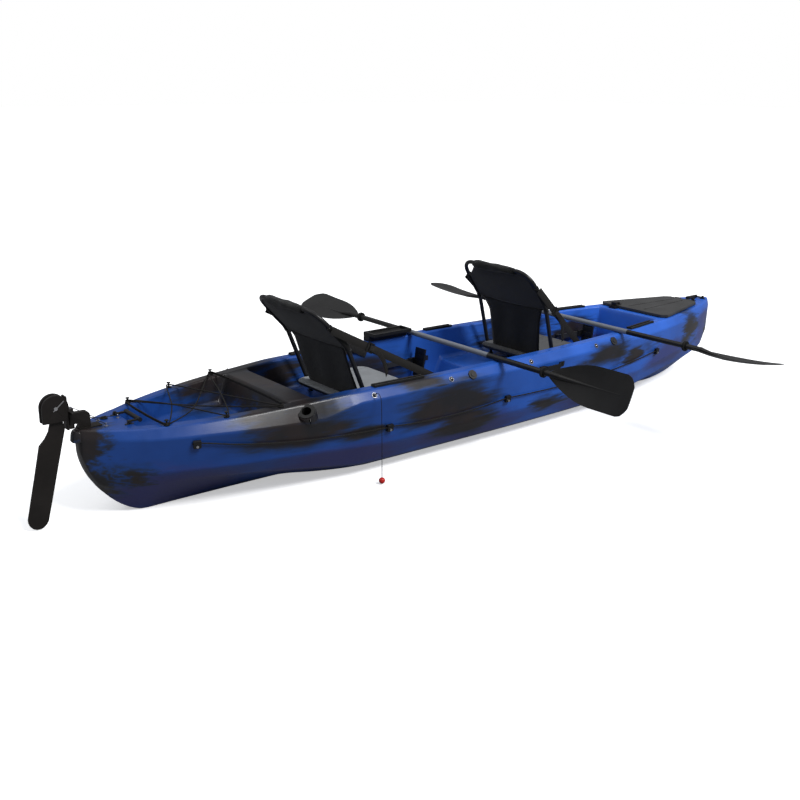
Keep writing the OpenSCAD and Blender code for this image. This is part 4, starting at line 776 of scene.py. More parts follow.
class KayakColours(bpy.types.PropertyGroup):
    """Colours of the kayak's finishes, as linear light."""

    def swatch(name, words, default):
        return FloatVectorProperty(name=name, description=words, subtype="COLOR", size=3,
                                   min=0.0, max=1.0, default=default)

    hull_blue: swatch("Hull blue", "Main colour of the hull", (0.009, 0.064, 0.310))
    hull_dark: swatch("Hull dark", "Colour of the hull's dark patches", (0.012, 0.011, 0.011))
    hull_stain: swatch("Hull stain", "Colour of the faint stains low on the hull", (0.036, 0.028, 0.110))
    black_plastic: swatch("Black plastic", "Moulded fittings", (0.008, 0.008, 0.008))
    lid_grey: swatch("Lid grey", "Hatch lid", (0.046, 0.046, 0.046))
    rail_grey: swatch("Rail grey", "Foot rails and fitting plates", (0.020, 0.020, 0.021))
    rubber: swatch("Rubber", "Seal and drip rings", (0.008, 0.008, 0.008))
    steel: swatch("Steel", "Stainless fittings", (0.62, 0.62, 0.64))
    tube_black: swatch("Tube black", "Coated seat tubes", (0.010, 0.010, 0.011))
    seat_grey: swatch("Seat grey", "Seat sling fabric", (0.210, 0.220, 0.230))
    # The front sling is the rear sling's fabric, painted darker as the shade of the front seat's back
    front_seat_shaded_grey: swatch("Front seat grey", "Front seat sling fabric", (0.070, 0.071, 0.072))
    back_mesh: swatch("Back mesh", "Mesh of the seat backs", (0.015, 0.0145, 0.0140))
    trim_black: swatch("Trim black", "Hood, skirt and sleeves of the backs", (0.0035, 0.0035, 0.0035))
    web_black: swatch("Web black", "Straps and cords", (0.012, 0.011, 0.010))
    shaft_grey: swatch("Shaft grey", "Middle of the paddle shafts", (0.170, 0.185, 0.215))
    paddle_black: swatch("Paddle black", "Paddle blades and ends", (0.008, 0.008, 0.008))
    rudder_black: swatch("Rudder black", "Rudder", (0.010, 0.008, 0.007))
    ball_red: swatch("Ball red", "Ball on the pull cord", (0.560, 0.018, 0.014))
    floor_white: swatch("Floor white", "Floor", (0.900, 0.900, 0.900))


class KayakSizes(bpy.types.PropertyGroup):
    """Sizes of the pieces that are dressed on."""

    def length(name, words, default, low, high):
        return FloatProperty(name=name, description=words, subtype="DISTANCE", unit="LENGTH",
                             default=default, min=low, max=high)

    fabric: length("Fabric", "Thickness of the seat fabric", 0.003, 0.001, 0.005)
    sleeve: length("Sleeve", "Thickness of the sleeves over the tubes", 0.0025, 0.001, 0.004)
    hood: length("Hood", "Padding over the top tube", 0.009, 0.004, 0.014)
    sag: length("Sag", "Depth that a seat sling hangs", 0.012, 0.0, 0.02)
    strap: length("Strap", "Width of the seat straps", 0.038, 0.03, 0.045)
    bungee: length("Bungee", "Diameter of the tank well lacing", 0.006, 0.004, 0.007)
    grab_line: length("Grab line", "Diameter of the grab lines", 0.006, 0.005, 0.008)
    pull_cord: length("Pull cord", "Diameter of the pull cord", 0.003, 0.002, 0.004)
    rudder_line: length("Rudder line", "Diameter of the rudder's lines", 0.003, 0.002, 0.004)
    edge: length("Edge", "Softening of moulded edges", 0.0015, 0.0, 0.003)


FINISHES = {}


def finish_of(key):
    """The material of a name, made once."""
    c = bpy.context.scene.kayak_colours
    if key not in FINISHES:
        FINISHES[key] = {
            "hull": lambda: hull_finish(c.hull_blue, c.hull_dark, c.hull_stain),
            "black": lambda: moulded("black_moulding", c.black_plastic, 0.46),
            "lid": lambda: moulded("lid_moulding", c.lid_grey, 0.52, 0.5),
            "rail": lambda: moulded("rail_moulding", c.rail_grey, 0.5),
            "rubber": lambda: moulded("soft_rubber", c.rubber, 0.66, 0.3, 0.25),
            "steel": lambda: metal("drawn_steel", c.steel),
            "tube": lambda: coated_tube("coated_tube", c.tube_black),
            "rear_seat": lambda: woven("rear_sling_weave", c.seat_grey, 0.0042, 0.3, ((0.205, 0.003),)),
            # Front sling: the same fabric as the rear, painted darker as shade, with deeper painted shade
            # in the weave's gaps
            "front_seat": lambda: woven("front_sling_weave_painted_shade", c.front_seat_shaded_grey, 0.0042, 0.45,
                                        ((0.06, 0.003), (0.13, 0.003), (0.205, 0.003))),
            "mesh": lambda: woven("back_mesh_weave", c.back_mesh, 0.0050, 0.6),
            "trim": lambda: woven("trim_weave", c.trim_black, 0.0030, 0.4),
            "web": lambda: webbing("strap_webbing", c.web_black),
            "cord": lambda: braided("braided_cord", c.web_black, 0.009),
            "shaft": lambda: coated_tube("grey_shaft", c.shaft_grey, 0.34),
            "paddle": lambda: moulded("paddle_moulding", c.paddle_black, 0.4, 0.25, 0.45),
            "rudder": lambda: moulded("rudder_moulding", c.rudder_black, 0.5, 0.3, 0.3),
            "ball": lambda: moulded("ball_moulding", c.ball_red, 0.28, 0.12, 0.5),
        }[key]()
    return FINISHES[key]


# Operators

class KAYAK_OT_stage(bpy.types.Operator):
    """Floor, light and the camera at the photograph's angle"""
    bl_idname = "kayak.stage"
    bl_label = "Stage"

    CAMERA_AT = (-3.59437, -4.06515, 1.82313)
    YAW, PITCH, ROLL = 51.99575, -17.32143, 0.32609
    FOCAL_PIXELS = 1032.74
    SENSOR = 36.0
    FAR_CLIP = 200.0
    LAMPS = (("key", (0.22, -0.64, 0.73), 2.5, 20), ("fill", (-0.35, 0.25, 0.90), 0.7, 60))
    AMBIENT = (0.42, 0.44, 0.47)
    REFLECTED = (0.26, 0.26, 0.27)
    BOUNCED = (0.22, 0.22, 0.22)
    FLOOR_GLOW = (0.45, 0.45, 0.45)
    BLACK, WHITE = (0.0, 0.0, 0.0), (1.0, 1.0, 1.0)
    FLOOR_REACH = 60.0

    def execute(self, context):
        scene = context.scene
        scene.view_settings.view_transform = "Standard"
        self.camera(scene)
        self.lights(scene)
        self.floor(scene)
        return {"FINISHED"}

    def camera(self, scene):
        data = bpy.data.cameras.new("camera")
        data.sensor_width = self.SENSOR
        data.lens = self.FOCAL_PIXELS * self.SENSOR / FRAME_SIZE
        data.clip_end = self.FAR_CLIP
        camera = bpy.data.objects.new("camera", data)
        yaw, pitch, roll = (math.radians(a) for a in (self.YAW, self.PITCH, self.ROLL))
        level = math.cos(pitch)
        ahead = Vector((level * math.cos(yaw), level * math.sin(yaw), math.sin(pitch)))
        right = ahead.cross(Vector((0, 0, 1))).normalized()
        up = right.cross(ahead)
        r = math.cos(roll) * right + math.sin(roll) * up
        u = -math.sin(roll) * right + math.cos(roll) * up
        turn = Matrix((r, u, -ahead)).transposed().to_4x4()
        camera.matrix_world = Matrix.Translation(self.CAMERA_AT) @ turn
        scene.collection.objects.link(camera)
        scene.camera = camera

    def lights(self, scene):
        for name, source, power, soft in self.LAMPS:
            data = bpy.data.lights.new(name, "SUN")
            data.energy = power
            data.angle = math.radians(soft)
            lamp = bpy.data.objects.new(name, data)
            lamp.rotation_euler = Vector(source).to_track_quat("Z", "Y").to_euler()
            scene.collection.objects.link(lamp)
        world = bpy.data.worlds.new("studio")
        scene.world = world
        world.use_nodes = True
        tree = world.node_tree
        seen, glossy = self.rays(tree)
        around = glossy.colour(rgba(self.AMBIENT), rgba(self.REFLECTED))
        light = seen.colour(around, rgba(self.WHITE))
        tree.links.new(light.socket, tree.nodes["Background"].inputs["Color"])

    @staticmethod
    def rays(tree):
        """1 for rays from the camera, through glass too, and 1 for reflections."""
        camera, through, glossy = (Wire(tree).node("ShaderNodeLightPath", out="Is %s Ray" % kind)
                                   for kind in ("Camera", "Transmission", "Glossy"))
        return camera.most(through), glossy

    def floor(self, scene):
        def paint(place, chart):
            seen, _ = self.rays(place.tree)
            return {
                "Base Color": seen.colour(rgba(self.BOUNCED), rgba(scene.kayak_colours.floor_white)),
                "Emission Color": seen.colour(rgba(self.BLACK), rgba(self.FLOOR_GLOW)),
            }

        r = self.FLOOR_REACH
        mesh = bpy.data.meshes.new("floor")
        mesh.from_pydata([(-r, -r, 0), (r, -r, 0), (r, r, 0), (-r, r, 0)], [], [(0, 1, 2, 3)])
        mesh.materials.append(finish("pale_floor", paint, roughness=0.9, specular_ior_level=0.0,
                                     emission_strength=1.0))
        floor = bpy.data.objects.new("floor", mesh)
        scene.collection.objects.link(floor)


class KAYAK_OT_cords(bpy.types.Operator):
    """Free pull cord, grab lines and tank well lacing"""
    bl_idname = "kayak.cords"
    bl_label = "Cords"

    PULL_ROUTE = ((-885, -415, 431.5), (-885, -425, 439), (-885, -436, 441), (-884, -446, 435),
                  (-882, -452, 420), (-880, -454, 390), (-879, -455, 300), (-878, -455, 200),
                  (-878, -455, 100), (-878, -455, 33.4))
    PULL_STEP, GRAB_STEP, LACING_STEP = 0.006, 0.03, 0.012
    CLIPS = ((-1730, 340), (-793, 254), (-36, 258), (1270, 286))
    CLIP_REACH = 21.0
    CLIP_GAP = 0.3
    LINE_OUT = 9.0
    SAG = 22.0
    HOOKS = (-1824, -1583, -1339)
    HOOK_IN = 20.0
    WRAP_R = 8.7
    LACING_LIFT = 12.3
    CROSSING = 4.0
    LONG_LIFT = -6.2
    LONG_SAG = 34.0
    LONG_LOWS = ((30, -20), (-30, -20))

    def execute(self, context):
        sizes = context.scene.kayak_sizes
        dress("pull_ball", finish_of("ball"))
        self.pull_cord(sizes.pull_cord)
        for node, s in (("grab_line_port", 1), ("grab_line_starboard", -1)):
            path = smooth_route(metres(self.grab_route(s)), self.GRAB_STEP)
            attach(cord_piece(node + "_braid", path, sizes.grab_line), "hull", node)
        for name, route, node in (("bungee_braid", self.lacing_route(), "bungee_lacing"),
                                  ("bungee_braid_long", self.long_route(), None)):
            path = closed_route(metres(route), self.LACING_STEP)
            attach(cord_piece(name, path, sizes.bungee, closed=True), "hull", node)
        return {"FINISHED"}

    def pull_cord(self, diameter):
        route = metres(self.PULL_ROUTE)
        path = smooth_route(route, self.PULL_STEP)
        cord = cord_piece("pull_cord_braid", path, diameter)
        attach(cord, "hull", "pull_cord")

    def grab_route(self, s):
        """Route through the clips of a side, with a sag between them."""
        route = []
        for i, (x, z) in enumerate(self.CLIPS):
            run, out = side_axes(lambda at: side_y(at, z), x, -side_lean(x))
            middle = np.array((x, side_y(x, z), z)) + (self.LINE_OUT + self.CLIP_GAP) * out
            route += [middle - self.CLIP_REACH * run, middle + self.CLIP_REACH * run]
            if i + 1 < len(self.CLIPS):
                bx, bz = self.CLIPS[i + 1]
                for t in np.arange(1, 6) / 6:
                    px, pz = x + (bx - x) * t, z + (bz - z) * t - 4 * self.SAG * t * (1 - t)
                    route.append((px, side_y(px, pz) + self.LINE_OUT / math.cos(side_lean(px)), pz))
        return [(x, s * y, z) for x, y, z in route]

    def wrap(self, i, s, half, lift=0.0):
        """Points round a hook from one side of it to the other, at a lift above the first cord."""
        x = self.HOOKS[i]
        hook = np.array((x, s * (rim_y(x) - self.HOOK_IN), rim_z(x) + self.LACING_LIFT + lift))
        return [hook + (self.WRAP_R * math.sin(a), s * self.WRAP_R * math.cos(a), 0.0)
                for a in np.radians((-half, 0, half))]

    def long_route(self):
        """Second cord, from the aft hooks straight to the fore ones and back."""
        lift, wrap, x = self.LONG_LIFT, self.wrap, self.HOOKS[1]
        low = [np.array((x + on, y, rim_z(x + on) + self.LACING_LIFT - self.LONG_SAG))
               for on, y in self.LONG_LOWS]
        return (wrap(0, -1, -70, lift) + wrap(0, 1, 70, lift) + low[:1] + wrap(2, -1, 70, lift)
                + wrap(2, 1, -70, lift) + low[1:])

    def lacing_route(self):
        """First cord, which crosses over between the hooks."""
        wrap, up, down = self.wrap, self.CROSSING, -self.CROSSING

        def crossing(i, lift):
            a, b = self.HOOKS[i:i + 2]
            return [np.array(((a + b) / 2, 0, (rim_z(a) + rim_z(b)) / 2 + self.LACING_LIFT + lift))]

        return (wrap(0, -1, -70) + wrap(0, 1, 70) + crossing(0, up) + wrap(1, -1, 50) + crossing(1, up)
                + wrap(2, 1, 70) + wrap(2, -1, -70) + crossing(1, down) + wrap(1, 1, -50)
                + crossing(0, down))


class KAYAK_OT_hull(bpy.types.Operator):
    """Smooth marbled skin of the hull"""
    bl_idname = "kayak.hull"
    bl_label = "Hull"

    # Drums of the rod holders, scuppers and stern cap: radii at the low and high end, then those ends
    BOSS = ((43.0, 43.0, -50.0, 13.0), (43.0, 40.5, 12.9, 16.0))
    BORE = (26.3, 26.3, -178.0, 60.0)
    SCUPPER = (18.0, 18.0, -20.0, 215.0)
    CAP_AT = (-2132.0, 0, 354.0)
    CAP = ((33.0, 37.4, 0.0, 6.05), (37.4, 34.4, 6.0, 30.05), (34.4, 31.5, 30.0, 42.05),
           (31.5, 26.0, 42.0, 50.0))
    SHARP = 38
    UP = (0, 0, 1)

    def execute(self, context):
        skin = add_piece("hull_skin", *hull_mesh(), finish_of("hull"))
        joined, cut = [], []
        for s in (1, -1):
            middle, axis = ((x, s * y, z) for x, y, z in (ROD_MID, ROD_AXIS))
            joined += [drum(middle, axis, *sizes) for sizes in self.BOSS]
            cut.append(drum(middle, axis, *self.BORE))
            cut += [drum((x, s * y, 0), self.UP, *self.SCUPPER) for x, y in SCUPPERS]
        joined += [drum(self.CAP_AT, self.UP, *sizes) for sizes in self.CAP]
        join_and_cut(skin, joined, cut)
        skin.data.shade_smooth()
        skin.data.set_sharp_from_angle(angle=math.radians(self.SHARP))
        weighted = skin.modifiers.new("flat_faces", "WEIGHTED_NORMAL")
        weighted.mode = "FACE_AREA_WITH_ANGLE"
        weighted.keep_sharp = True
        attach(skin, "hull", "hull")
        return {"FINISHED"}


class KAYAK_OT_fittings(bpy.types.Operator):
    """Finishes of the hatch, handles, tracks and other deck fittings"""
    bl_idname = "kayak.fittings"
    bl_label = "Deck fittings"

    BLACK = ("drain_plug", "hatch_hinge_brackets", "hatch_latch", "hatch_keeper", "bow_handle",
             "stern_handle", "handle_saddles", "deck_hooks", "grab_line_clips", "gear_tracks_port",
             "gear_tracks_starboard", "rail_block_port", "side_handles", "rod_holder_port",
             "rod_holder_starboard")
    STEEL = ("hatch_hinge_pin", "hatch_latch_pin", "clip_bolts", "pad_eyes", "seat_bolts",
             "line_fairleads")
    EYES = ((-426, 1), (-426, -1), (117, 1), (117, -1), (640, 1), (640, -1), (-885, -1))
    EYE_SHADE_R = 10.8
    EYE_SHADE_SIDES = 20
    # Heights of the dark discs' rings over the shoulder, and shares of their radius
    EYE_SHADE_RINGS = ((2.9, 1.0), (3.9, 1.0), (4.3, 0.8))

    def execute(self, context):
        edge = context.scene.kayak_sizes.edge
        self.eye_shade_discs()
        for name in self.BLACK:
            dress(name, finish_of("black"), edge)
        for name in self.STEEL:
            dress(name, finish_of("steel"), FINE_EDGE * edge)
        dress("hatch_lid", finish_of("lid"), SOFT_EDGE * edge)
        dress("hatch_seal", finish_of("rubber"), 0.5 * edge)
        dress("fitting_plates", finish_of("rail"), edge)
        return {"FINISHED"}

    def eye_shade_discs(self):
        """Dark discs inside the pad eyes' bases, on the sloping shoulders: painted shade in the hollow of
        each eye.
        """
        points, faces = [], []
        for x, s in self.EYES:
            edge_z = rim_z(x) - RIM_DROP * rim_edge(x)
            lean = math.atan2(shoulder_y(x) - rim_y(x), edge_z - shoulder_z(x))
            run, out = side_axes(shoulder_y, x, lean)
            axes = np.array((run, np.cross(run, out)))
            middle = np.array((x, (shoulder_y(x) + rim_y(x)) / 2, (shoulder_z(x) + edge_z) / 2))
            faces += ring_faces(len(self.EYE_SHADE_RINGS), self.EYE_SHADE_SIDES, len(points))
            for height, share in self.EYE_SHADE_RINGS:
                ring = circle(share * self.EYE_SHADE_R, self.EYE_SHADE_SIDES) @ axes
                points += list((middle + out * height + ring) * (1, s, 1) * MM)
        # The discs take the dark rubber finish as painted shade
        shade_discs = add_piece("eye_shade_discs", points, faces, finish_of("rubber"), sharp=50)
        attach(shade_discs, "hull")


class KAYAK_OT_rudder(bpy.types.Operator):
    """Rudder finishes, its clip and its lines"""
    bl_idname = "kayak.rudder"
    bl_label = "Rudder"

    # The steering lines start at steps from the tiller and end at the fairleads, in millimetres
    TILLER = (-2161.0, 0.0, 494.3)
    STEERING = ((9, 46, 0), (25, 46, -4), (60, 45.5, -25))
    FAIRLEAD = (-2031.5, 44, 424)
    LIFT_ROUTE = ((-2080.2, 0, 448), (-2066, 2.5, 445), (-2051, 6, 440), (-1946.5, 32, 423))
    LINE_STEP = 0.008
    BLEND_FROM, BLEND_TO = (TILLER[0] * MM, 0, 0.46), (-2.04, 0, 0.46)
    CLIP_ROWS = 6
    CLIP = ((-2.237, -0.023, 0.509), (-2.190, -0.023, 0.548))
    CLIP_HALVES = (0.0008, 0.002)

    def execute(self, context):
        sizes = context.scene.kayak_sizes
        for name in ("rudder_bracket", "rudder_head", "rudder_blade"):
            dress(name, finish_of("rudder"), SOFT_EDGE * sizes.edge)
        for name in ("steering_pin", "blade_pin"):
            dress(name, finish_of("steel"), FINE_EDGE * sizes.edge)
        for side, s in SIDES:
            route = [np.add(self.TILLER, step) for step in self.STEERING] + [self.FAIRLEAD]
            line = self.line("steering_line_" + side, [(x, s * y, z) for x, y, z in route], sizes)
            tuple(self.BLEND_FROM)
            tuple(self.BLEND_TO)
            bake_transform(line)
            if s > 0:
                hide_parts("steering_lines")
        a, b = self.CLIP_HALVES
        strip = [((-a, -b), (a, -b), (a, b), (-a, b))] * self.CLIP_ROWS
        path = np.linspace(*self.CLIP, self.CLIP_ROWS)
        clip = swept("rudder_clip", path, strip, finish_of("steel"), sharp=40)
        attach(clip, "rudder_head")
        attach(self.line("lift_line_braid", self.LIFT_ROUTE, sizes), "hull", "lift_line")
        return {"FINISHED"}

    def line(self, name, route, sizes):
        return cord_piece(name, smooth_route(metres(route), self.LINE_STEP), sizes.rudder_line)


class KAYAK_OT_seat_slings(bpy.types.Operator):
    """Seat slings stretched over the seat frames"""
    bl_idname = "kayak.seat_slings"
    bl_label = "Seat slings"

    RINGS = 12
    WRAP_ANGLES = (62, 40, 18, 0, -18, -36)
    WRAP_GAP = 0.3
    HANG_POWER = 2.2
    # Ridge of the seam inside the frame: height in millimetres, place and width as shares of the sling
    RIDGE, RIDGE_AT, RIDGE_WIDE = 1.2, 0.93, 0.05

    def execute(self, context):
        sizes = context.scene.kayak_sizes
        for seat in SEATS:
            dress(seat + "_seat_base", finish_of("tube"))
            self.sling(seat, sizes)
        return {"FINISHED"}

    def sling(self, seat, sizes):
        x0 = SEATS[seat][0] - SEAT_BACK_OF_PIVOT
        over = TUBE_R + sizes.fabric / MM / 2 + self.WRAP_GAP
        rings = [(seat_path(over * math.sin(a)), over * math.cos(a))
                 for a in np.radians(self.WRAP_ANGLES)]
        centre = np.array((SEAT_DEPTH / 2, 0.0))
        inner, inner_z = rings[-1]
        for k in range(1, self.RINGS):
            s = 1 - k / self.RINGS
            hang = (1 - s**self.HANG_POWER) * sizes.sag / MM
            ridge = self.RIDGE * math.exp(-((s - self.RIDGE_AT) / self.RIDGE_WIDE) ** 2)
            rings.append((centre + (inner - centre) * s, inner_z - hang + ridge))
        rings.append(([centre], inner_z - sizes.sag / MM))
        points = metres((x0 + x, y, SEAT_Z + z) for path, z in rings for x, y in path)
        chart = [(y * MM, x * MM) for path, _ in rings for x, y in path]
        m, last = len(inner), len(points) - 1
        faces = ring_faces(len(rings) - 1, m, capped=False)
        faces += [(last - m + j, last - m + (j + 1) % m, last) for j in range(m)]
        cloth = add_piece(seat + "_seat_cloth", points, faces, finish_of(seat + "_seat"), chart)
        thicken(cloth, sizes.fabric)
        attach(cloth, "hull", seat + "_seat_sling")


class KAYAK_OT_seat_backs(bpy.types.Operator):
    """Mesh, sleeves, padded hood and skirt of the seat backs"""
    bl_idname = "kayak.seat_backs"
    bl_label = "Seat backs"

    ROWS, COLUMNS = 22, 27
    PANEL_N = -4.0
    PANEL_SAG = 10.0
    PANEL_TOP = BACK_LEN - 4.0
    PANEL_IN = 2.0
    CUT_FROM = 445.0
    TOP_HALF = 150.0
    OPEN_CORNER = ("front", 1)
    SLEEVE_V = (SEAM_V - 8.0, CUT_FROM + 15.0)
    SLEEVE_GAP = 1.5
    SLEEVE_SIDES, SLEEVE_ROWS = 16, 18
    HOOD_HALF = TOP_HALF + 16.0
    HOOD_AT = (BACK_LEN - 5.0, -2.0)
    HOOD_GAP = 4.0
    HOOD_SIDES, HOOD_ROWS = 18, 33
    HOOD_GIRTH = 0.13
    SKIRT_ROWS, SKIRT_COLUMNS = 20, 25
    SKIRT_OVER = 6.0
    SKIRT_N = -7.0
    SKIRT_OUT = 9.0
    SKIRT_FOLD = 10.0
    SKIRT_WIDE = 0.492
    # Half widths of a skirt on its port and starboard side, at shares of its height
    SKIRT_UP = (0.0, 0.4, 0.75, 0.93, 1.0)
    SKIRT_HALVES = {"rear": {1: (205, 206, 200, 198, 246), -1: (236, 238, 240, 243, 247)},
                    "front": {1: (198, 186, 186, 200, 246), -1: (168, 192, 214, 232, 246)}}

    def execute(self, context):
        sizes = context.scene.kayak_sizes
        for seat in SEATS:
            dress(seat + "_seat_back", finish_of("tube"))
            self.panel(seat, sizes)
            for side, s in SIDES:
                self.sleeve(seat, side, s, sizes)
            self.hood(seat, sizes)
            self.skirt(seat, sizes)
        return {"FINISHED"}

    def panel_half(self, seat, s, v):
        """Width of half a panel at a height: out to the tube, or cut in across the one open corner."""
        if (seat, s) == self.OPEN_CORNER:
            share = max(0.0, v - self.CUT_FROM) / (BACK_LEN - self.CUT_FROM)
            return BACK_Y - self.PANEL_IN - (BACK_Y - self.TOP_HALF) * share
        d = min(BACK_CORNER, max(0.0, v - BACK_LEN + BACK_CORNER))
        return BACK_Y - self.PANEL_IN - BACK_CORNER + math.sqrt(BACK_CORNER**2 - d * d)

    @staticmethod
    def cloth(name, seat, levels, columns, half, depth, kind, thickness):
        """Cloth on a seat's back, from half(s, v) of its width and depth(t, v) forward of the tubes."""
        points, chart = [], []
        for v in levels:
            halves = {s: half(s, v) for s in (-1, 1)}
            for t in np.linspace(-1, 1, columns):
                y = halves[1 if t > 0 else -1] * t
                points.append(on_back(seat, y, v, depth(t, v)))
                chart.append((y * MM, v * MM))
        made = add_piece(name, points, grid_faces(len(levels), columns), finish_of(kind), chart)
        thicken(made, thickness)
        return made

    def panel(self, seat, sizes):
        def half(s, v):
            return self.panel_half(seat, s, v)

        def depth(t, v):
            up = (v - SEAM_V) / (BACK_LEN - SEAM_V)
            hang = self.PANEL_SAG * (1 - t * t) * (1 - 0.8 * (2 * up - 0.9) ** 2)
            return self.PANEL_N - max(0.0, hang)

        levels = np.linspace(SEAM_V, self.PANEL_TOP, self.ROWS)
        panel = self.cloth(seat + "_back_panel", seat, levels, self.COLUMNS, half, depth, "mesh",
                           sizes.fabric)
        attach(panel, seat + "_seat_back", seat + "_back_sling")
        widths = [half(-1, v) + half(1, v) for v in np.linspace(SEAM_V, self.PANEL_TOP, 80)]

    def sleeve(self, seat, side, s, sizes):
        r = (TUBE_R + self.SLEEVE_GAP) * MM + sizes.sleeve
        levels = np.linspace(*self.SLEEVE_V, self.SLEEVE_ROWS)
        path = np.array([on_back(seat, s * BACK_Y, v, 0) for v in levels])
        outlines = [circle(r, self.SLEEVE_SIDES)] * len(path)
        sleeve = swept("%s_back_sleeve_%s" % (seat, side), path, outlines, finish_of("trim"),
                       girth=2 * math.pi * r, capped=False)
        thicken(sleeve, sizes.sleeve, -1.0)
        attach(sleeve, seat + "_seat_back")

    def hood(self, seat, sizes):
        across = np.linspace(-self.HOOD_HALF, self.HOOD_HALF, self.HOOD_ROWS)
        path = np.array([on_back(seat, y, *self.HOOD_AT) for y in across])
        turn = np.arange(self.HOOD_SIDES) * 2 * math.pi / self.HOOD_SIDES
        outlines = []
        for share in run_along(path) / run_along(path)[-1]:
            ends = math.sin(math.pi * clamped(share)) ** 0.30
            lump = 1 + 0.10 * math.sin(share * 17) + 0.07 * math.sin(share * 29 + 1.0)
            swell = (TUBE_R + self.HOOD_GAP) * MM + sizes.hood * ends * lump * (0.6 + 0.6 * share)
            dents = 1 + 0.08 * np.cos(3 * turn + share * 9)
            outlines.append(circle(swell, self.HOOD_SIDES) * dents[:, None])
        hood = swept(seat + "_back_hood", path, outlines, finish_of("trim"), girth=self.HOOD_GIRTH)
        smoothed = hood.modifiers.new("smoothed", "SUBSURF")
        smoothed.levels = smoothed.render_levels = 1
        attach(hood, seat + "_seat_back")

    def skirt(self, seat, sizes):
        low, high = -self.SKIRT_OVER, SEAM_V + self.SKIRT_OVER

        def half(s, v):
            return np.interp((v - low) / (high - low), self.SKIRT_UP, self.SKIRT_HALVES[seat][s])

        def depth(t, v):
            up = (v - low) / (high - low)
            fold = self.SKIRT_FOLD * math.sin(t * 7 + 3 * up) * (1 - up) * up
            return self.SKIRT_N - fold - self.SKIRT_OUT * (1 - up)

        levels = np.linspace(low, high, self.SKIRT_ROWS)
        skirt = self.cloth(seat + "_back_skirt", seat, levels, self.SKIRT_COLUMNS, half, depth, "trim",
                           sizes.fabric)
        widths = np.array([half(-1, v) + half(1, v) for v in levels])
        on_back(seat, 0, 5, 0)
        on_back(seat, 0, 150, 0)
        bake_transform(skirt)


